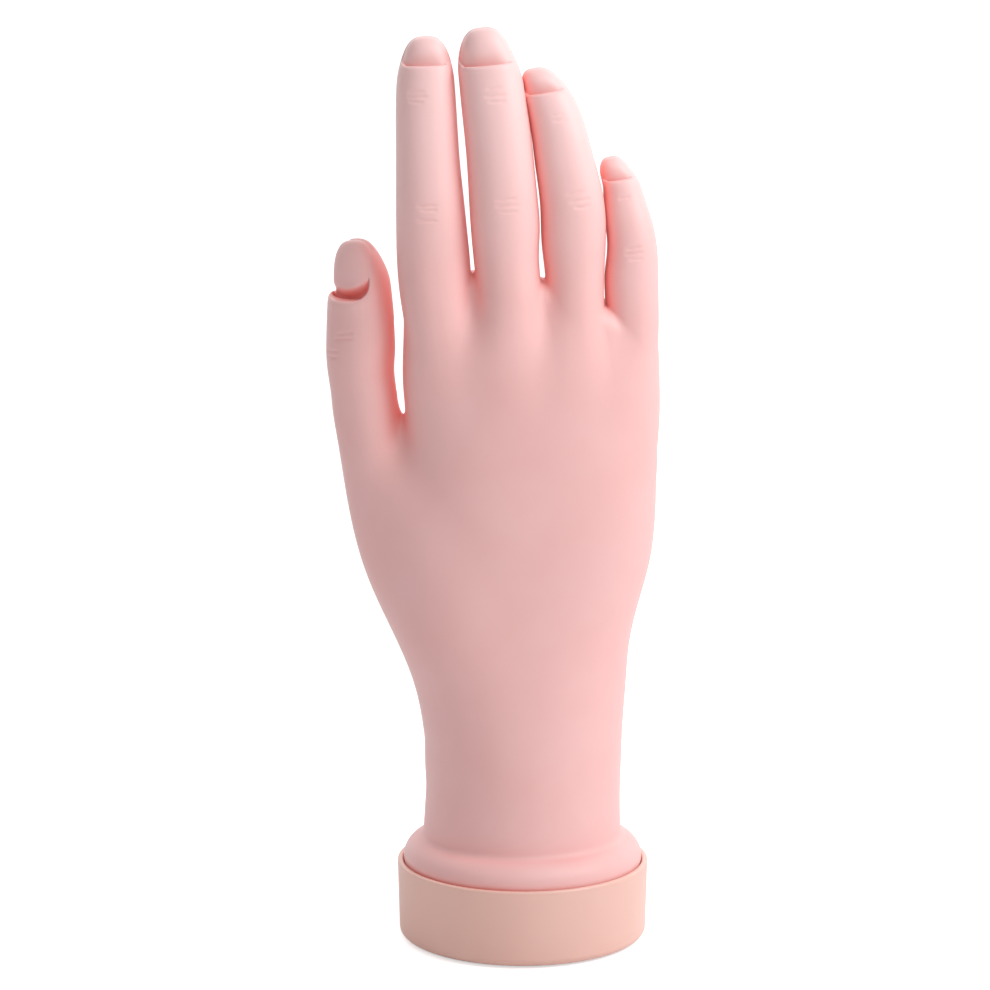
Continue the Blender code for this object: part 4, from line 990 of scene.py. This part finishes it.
def skin_painted_light(tree, place, colour):
    """The skin's colour with painted light: a painted highlight that turns it lighter toward the finger
    tips, painted red shade in the hollows, and a faint painted red glow.

    Light that enters soft vinyl in a hollow leaves it redder, and here that light and shade are painted
    into the colour. The share of red is how little of the sky is open, times the greater of two
    shares: how far the skin faces the thumb's side, away from the key light, and how far it lies
    beyond a place across, where the index finger shades the thumb.
    """
    sides = add_node(tree, "ShaderNodeSeparateXYZ", {}, {"Vector": place}).outputs
    sky = add_node(tree, "ShaderNodeAmbientOcclusion", {"Distance": PAINTED_SHADE_REACH, "samples": PAINTED_SHADE_RAYS})
    normal = add_node(tree, "ShaderNodeNewGeometry").outputs["Normal"]
    slope = add_node(tree, "ShaderNodeSeparateXYZ", {}, {"Vector": normal}).outputs
    shares = []
    sources = sides["Z"], sky.outputs["AO"], slope["X"], sides["X"]
    for source, (first, last, least, most) in zip(sources, PAINTED_LIGHT_SHARES):
        span = {"From Min": first, "From Max": last, "To Min": least, "To Max": most}
        shares.append(add_node(tree, "ShaderNodeMapRange", span, {"Value": source}).outputs["Result"])
    high, hidden, away, beside = shares
    # Painted highlight: the skin turns lighter toward the tips, where light from above falls on them.
    settings = {"data_type": "RGBA", 7: colour_of(PAINTED_TIP_LIGHT_COLOUR)}
    painted_tip_highlight = add_node(tree, "ShaderNodeMix", settings, {"Factor": high, 6: colour})
    greater = add_node(tree, "ShaderNodeMath", {"operation": "MAXIMUM"}, {0: away, 1: beside})
    both = {0: hidden, 1: greater.outputs["Value"]}
    tint = add_node(tree, "ShaderNodeMath", {"operation": "MULTIPLY"}, both).outputs["Value"]
    # Painted shade: where the sky is hidden, on sides turned from the key light and on the thumb in the index
    # finger's shadow, the colour turns red, and the emission adds a faint painted red glow.
    red = colour_of(PAINTED_SHADE_COLOUR)
    settings = {"data_type": "RGBA", 7: red}
    mix = add_node(tree, "ShaderNodeMix", settings, {"Factor": tint, 6: painted_tip_highlight.outputs[2]})
    settings = {"operation": "SCALE", 0: [part * PAINTED_GLOW for part in red[:3]]}
    glow = add_node(tree, "ShaderNodeVectorMath", settings, {"Scale": tint})
    return {"Base Color": mix.outputs[2], "Emission Color": glow.outputs["Vector"]}


def skin_material(settings):
    """Soft plasticised vinyl: slush moulded, so it is even in colour, satin and finely grained, with
    light and shade painted into it: a painted highlight toward the tips, and painted red shade and glow
    in the hollows.
    """
    surface = {
        "Roughness": 0.46,
        "Specular IOR Level": 0.45,
        "Sheen Weight": 0.22,
        "Sheen Roughness": 0.4,
        # The emission shows the painted red glow of the hollows.
        "Emission Strength": 1.0,
    }
    made = bpy.data.materials.get(SKIN_FINISH)
    if made:
        return made
    colours = settings.skin_light, settings.skin_dark
    noise = {"scale": 60.0, "grain": 0.05 * MM}
    return plain_material(SKIN_FINISH, *colours, surface=surface, tint=skin_painted_light, **noise)


def cup_material(settings):
    """Injection moulded polypropylene: smooth, with a satin gloss."""
    surface = {"Roughness": 0.34, "Specular IOR Level": 0.45}
    colours = settings.cup_light, settings.cup_dark
    noise = {"scale": 40.0, "grain": 0.02 * MM}
    return plain_material("Injection moulded polypropylene", *colours, surface=surface, **noise)


def white_floor():
    """A wide floor of matt white card, which glows for the camera alone, so that it is seen white."""
    mesh = bpy.data.meshes.new("floor")
    corners = np.array(((-1, -1, 0), (1, -1, 0), (1, 1, 0), (-1, 1, 0)), dtype=float) * FLOOR_REACH
    mesh.from_pydata(corners, [], [(0, 1, 2, 3)])
    material, tree, output = new_material("Matt white card")
    card = add_node(tree, "ShaderNodeBsdfDiffuse", {"Color": CARD}).outputs["BSDF"]
    glow = add_node(tree, "ShaderNodeEmission", {"Strength": FLOOR_LIFT}).outputs["Emission"]
    both = add_node(tree, "ShaderNodeAddShader", {}, {0: card, 1: glow}).outputs["Shader"]
    seen = add_node(tree, "ShaderNodeLightPath").outputs["Is Camera Ray"]
    mix = add_node(tree, "ShaderNodeMixShader", {}, {"Fac": seen, 1: card, 2: both})
    tree.links.new(mix.outputs["Shader"], output.inputs["Surface"])
    mesh.materials.append(material)
    return placed("floor", mesh)


def white_world(settings):
    """Surroundings that the camera sees white, and whose light is even but weaker to the left.

    The strength is read from the direction: from left to right in front, toward the back light
    behind, and the top light added above.
    """
    world = bpy.data.worlds.new("Surroundings")
    world.use_nodes = True
    tree = world.node_tree
    tree.nodes.clear()
    place = add_node(tree, "ShaderNodeTexCoord").outputs["Generated"]
    parts = add_node(tree, "ShaderNodeSeparateXYZ", {}, {"Vector": place}).outputs
    ends = {"To Min": settings.left_strength, "To Max": settings.fill_strength}
    span = {"From Min": -SIDE_SPAN, "From Max": SIDE_SPAN, **ends}
    front = add_node(tree, "ShaderNodeMapRange", span, {"Value": parts["X"]})
    span = {"From Min": BACK_SPAN[0], "From Max": BACK_SPAN[1], "To Max": settings.back_strength}
    links = {"Value": parts["Y"], "To Min": front.outputs["Result"]}
    behind = add_node(tree, "ShaderNodeMapRange", span, links)
    span = {"From Min": TOP_SPAN[0], "From Max": TOP_SPAN[1], "To Max": settings.top_strength}
    above = add_node(tree, "ShaderNodeMapRange", span, {"Value": parts["Z"]})
    both = {0: behind.outputs["Result"], 1: above.outputs["Result"]}
    whole = add_node(tree, "ShaderNodeMath", {"operation": "ADD"}, both).outputs["Value"]
    around = add_node(tree, "ShaderNodeBackground", {"Color": WHITE}, {"Strength": whole})
    plain = add_node(tree, "ShaderNodeBackground", {"Color": WHITE, "Strength": 1.0})
    seen = add_node(tree, "ShaderNodeLightPath").outputs["Is Camera Ray"]
    shown = {"Fac": seen, 1: around.outputs["Background"], 2: plain.outputs["Background"]}
    mix = add_node(tree, "ShaderNodeMixShader", {}, shown)
    add_node(tree, "ShaderNodeOutputWorld", {}, {"Surface": mix.outputs["Shader"]})
    return world


def soft_lamp(name, place, aim, size, power):
    """A round soft lamp at a place, turned to what it is aimed at."""
    lamp = bpy.data.lights.new(name, "AREA")
    lamp.shape = "DISK"
    lamp.size = size
    lamp.energy = power
    made = placed(name, lamp)
    made.location = place
    made.rotation_euler = (Vector(aim) - Vector(place)).to_track_quat("-Z", "Y").to_euler()
    return made


def dress(made, material):
    """Gives a new piece its material."""
    made.data.materials.append(material)


def grid_step(name, what, default, least):
    """A setting for the step of a grid."""
    return bpy.props.FloatProperty(
        name=name,
        description=f"Step of the grid that {what} found on",
        default=default,
        min=least,
        subtype="DISTANCE",
        unit="LENGTH",
    )


def hex_code(name, what, default):
    """A setting for a colour."""
    return bpy.props.StringProperty(name=name, description=f"sRGB hex code of {what}", default=default)


def brightness(name, description, default):
    """A setting for how bright a light is."""
    return bpy.props.FloatProperty(name=name, description=description, default=default, min=0.0)


class PracticeHandSettings(bpy.types.PropertyGroup):
    """Grids, colours and lights of the practice hand."""

    palm_step: grid_step("Palm step", "the palm's skin is", 0.62 * MM, 0.4 * MM)
    digit_step: grid_step("Digit step", "the lengths of the digits are", 0.42 * MM, 0.2 * MM)
    tip_step: grid_step("Tip step", "the tips and their nail places are", 0.28 * MM, 0.15 * MM)
    skin_light: hex_code("Skin, lighter", "the vinyl where it is lighter", "F8C5C3")
    skin_dark: hex_code("Skin, darker", "the vinyl where it is darker", "F6BEBB")
    cup_light: hex_code("Cup, lighter", "the cup's plastic where it is lighter", "F5C7BB")
    cup_dark: hex_code("Cup, darker", "the cup's plastic where it is darker", "F3C2B5")
    key_power: brightness("Key light", "Power of the soft light from the front right, in watts", 1.86)
    crown_power: brightness("Crown light", "Power of the soft light on the tips, in watts", 0.20)
    fill_strength: brightness("Fill, right", "Strength of the even light from the front right", 0.21)
    left_strength: brightness("Fill, left", "Strength of the even light from the front left", 0.01)
    back_strength: brightness("Back light", "Strength of the even light from behind", 1.25)
    top_strength: brightness("Top light", "Strength of the even light added from above", 0.42)


class PRACTICEHAND_OT_camera(bpy.types.Operator):
    """Place the camera where the photo was taken from"""

    bl_idname = "practicehand.camera"
    bl_label = "Camera"

    def execute(self, context):
        camera = bpy.data.cameras.new("Camera")
        camera.sensor_width = SENSOR_WIDTH
        camera.lens = CAMERA_LENS
        made = placed("Camera", camera)
        made.location = CAMERA_PLACE
        made.rotation_euler = (math.radians(90.0 - CAMERA_PITCH), 0.0, 0.0)
        context.scene.camera = made
        return {"FINISHED"}


class PRACTICEHAND_OT_stage(bpy.types.Operator):
    """Make the pale floor, the white surroundings and the soft lights"""

    bl_idname = "practicehand.stage"
    bl_label = "Stage"

    def execute(self, context):
        settings = context.scene.practice_hand
        context.scene.view_settings.view_transform = "Standard"
        floor = white_floor()
        context.scene.world = white_world(settings)
        key = soft_lamp("key", KEY_PLACE, KEY_AIM, KEY_SIZE, settings.key_power)
        crown = soft_lamp("crown", CROWN_PLACE, CROWN_AIM, CROWN_SIZE, settings.crown_power)
        return {"FINISHED"}


class PRACTICEHAND_OT_palm(bpy.types.Operator):
    """Make the soft skin of the palm, thumb base, wrist and bead"""

    bl_idname = "practicehand.palm"
    bl_label = "Palm"

    def execute(self, context):
        settings = context.scene.practice_hand
        made = palm_piece(settings.palm_step)
        dress(made, skin_material(settings))
        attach(made, "hand")
        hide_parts("palm_skin")
        return {"FINISHED"}


class PRACTICEHAND_OT_digits(bpy.types.Operator):
    """Make the soft skin of the fingers and the thumb, in lengths cut apart between their hinges"""

    bl_idname = "practicehand.digits"
    bl_label = "Fingers and thumb"

    def execute(self, context):
        settings = context.scene.practice_hand
        skin = skin_material(settings)
        for digit in DIGITS.values():
            zones = digit.zones()
            bodies = ["hand"] + [f"{digit.name}_{part}" for part in digit.parts]
            starts = [zones[0][0]] + [(low[1] + high[0]) / 2 for low, high in zip(zones[:-1], zones[1:])]
            for number, part in enumerate(digit.parts):
                last = part == "tip"
                end = None if last else starts[number + 1]
                step = settings.tip_step if last else settings.digit_step
                made = digit_piece(digit, part, starts[number], end, step)
                dress(made, skin)
                low, high = (Vector(digit.root + place * digit.along) for place in zones[number])
                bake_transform(made)
                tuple(low)
                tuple(high)
                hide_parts(f"{digit.name}_{part}_skin")
        return {"FINISHED"}


class PRACTICEHAND_OT_base(bpy.types.Operator):
    """Make the round cup that the hand stands in"""

    bl_idname = "practicehand.base"
    bl_label = "Base"

    def execute(self, context):
        rim, top, low = CUP_HIGH[0], CUP_HIGH[2], CUP_LOW[2]
        foot, inside = rim - CUP_TAPER, rim - CUP_WALL
        pad, recess = PAD_HIGH[0] + GAP, PAD_HIGH[2] + GAP
        washer, pocket = WASHER_HIGH[0] + GAP, WASHER_HIGH[2] + GAP
        floor = low + CUP_FLOOR
        corners = (
            (pad, low, SMALL_EDGE),
            (foot, low, CUP_CORNER),
            (rim, top, RIM_EDGE),
            (inside, top, RIM_EDGE),
            (inside - CUP_TAPER, floor, CUP_CORNER),
            (BOSS_RADIUS, floor, SMALL_EDGE),
            (BOSS_RADIUS, floor + BOSS_RISE, SMALL_EDGE),
            (SHANK_RADIUS + GAP, floor + BOSS_RISE, SMALL_EDGE),
            (SHANK_RADIUS + GAP, pocket, SMALL_EDGE),
            (washer, pocket, SMALL_EDGE),
            (washer, recess, SMALL_EDGE),
            (pad, recess, SMALL_EDGE),
        )
        made = turned_piece("base", rounded(corners), CUP_SIDES)
        dress(made, cup_material(context.scene.practice_hand))
        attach(made, "base")
        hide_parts("base_cup")
        return {"FINISHED"}


class PRACTICEHAND_OT_inner(bpy.types.Operator):
    """Give the parts inside the hand and under the base their finishes"""

    bl_idname = "practicehand.inner"
    bl_label = "Inner parts"

    def execute(self, context):
        for *finish, endings in INNER_FINISHES:
            material = plain_material(*finish)
            for name, node in frame["nodes"].items():
                if name.endswith(endings):
                    node.data.materials.clear()
                    node.data.materials.append(material)
        return {"FINISHED"}


class PRACTICEHAND_PT_panel(bpy.types.Panel):
    """Sidebar panel with the settings and the steps of the practice hand"""

    bl_idname = "PRACTICEHAND_PT_panel"
    bl_label = "Practice hand"
    bl_space_type = "VIEW_3D"
    bl_region_type = "UI"
    bl_category = "Practice hand"

    def draw(self, context):
        settings = context.scene.practice_hand
        for name in settings.bl_rna.properties.keys():
            if name not in ("rna_type", "name"):
                self.layout.prop(settings, name)
        for step in STEPS:
            self.layout.operator(step.bl_idname)


STEPS = (
    PRACTICEHAND_OT_camera,
    PRACTICEHAND_OT_stage,
    PRACTICEHAND_OT_palm,
    PRACTICEHAND_OT_digits,
    PRACTICEHAND_OT_base,
    PRACTICEHAND_OT_inner,
)
CLASSES = (PracticeHandSettings, *STEPS, PRACTICEHAND_PT_panel)


def register():
    """Adds the settings, the operators and the panel."""
    for made in CLASSES:
        bpy.utils.register_class(made)
    bpy.types.Scene.practice_hand = bpy.props.PointerProperty(type=PracticeHandSettings)


def unregister():
    """Takes the settings, the operators and the panel away."""
    del bpy.types.Scene.practice_hand
    for made in reversed(CLASSES):
        bpy.utils.unregister_class(made)


def main():
    """Builds the looks."""
    register()
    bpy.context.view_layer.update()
    for step in STEPS:
        group, name = step.bl_idname.split(".")
        getattr(getattr(bpy.ops, group), name)()


if __name__ == "__main__":
    main()
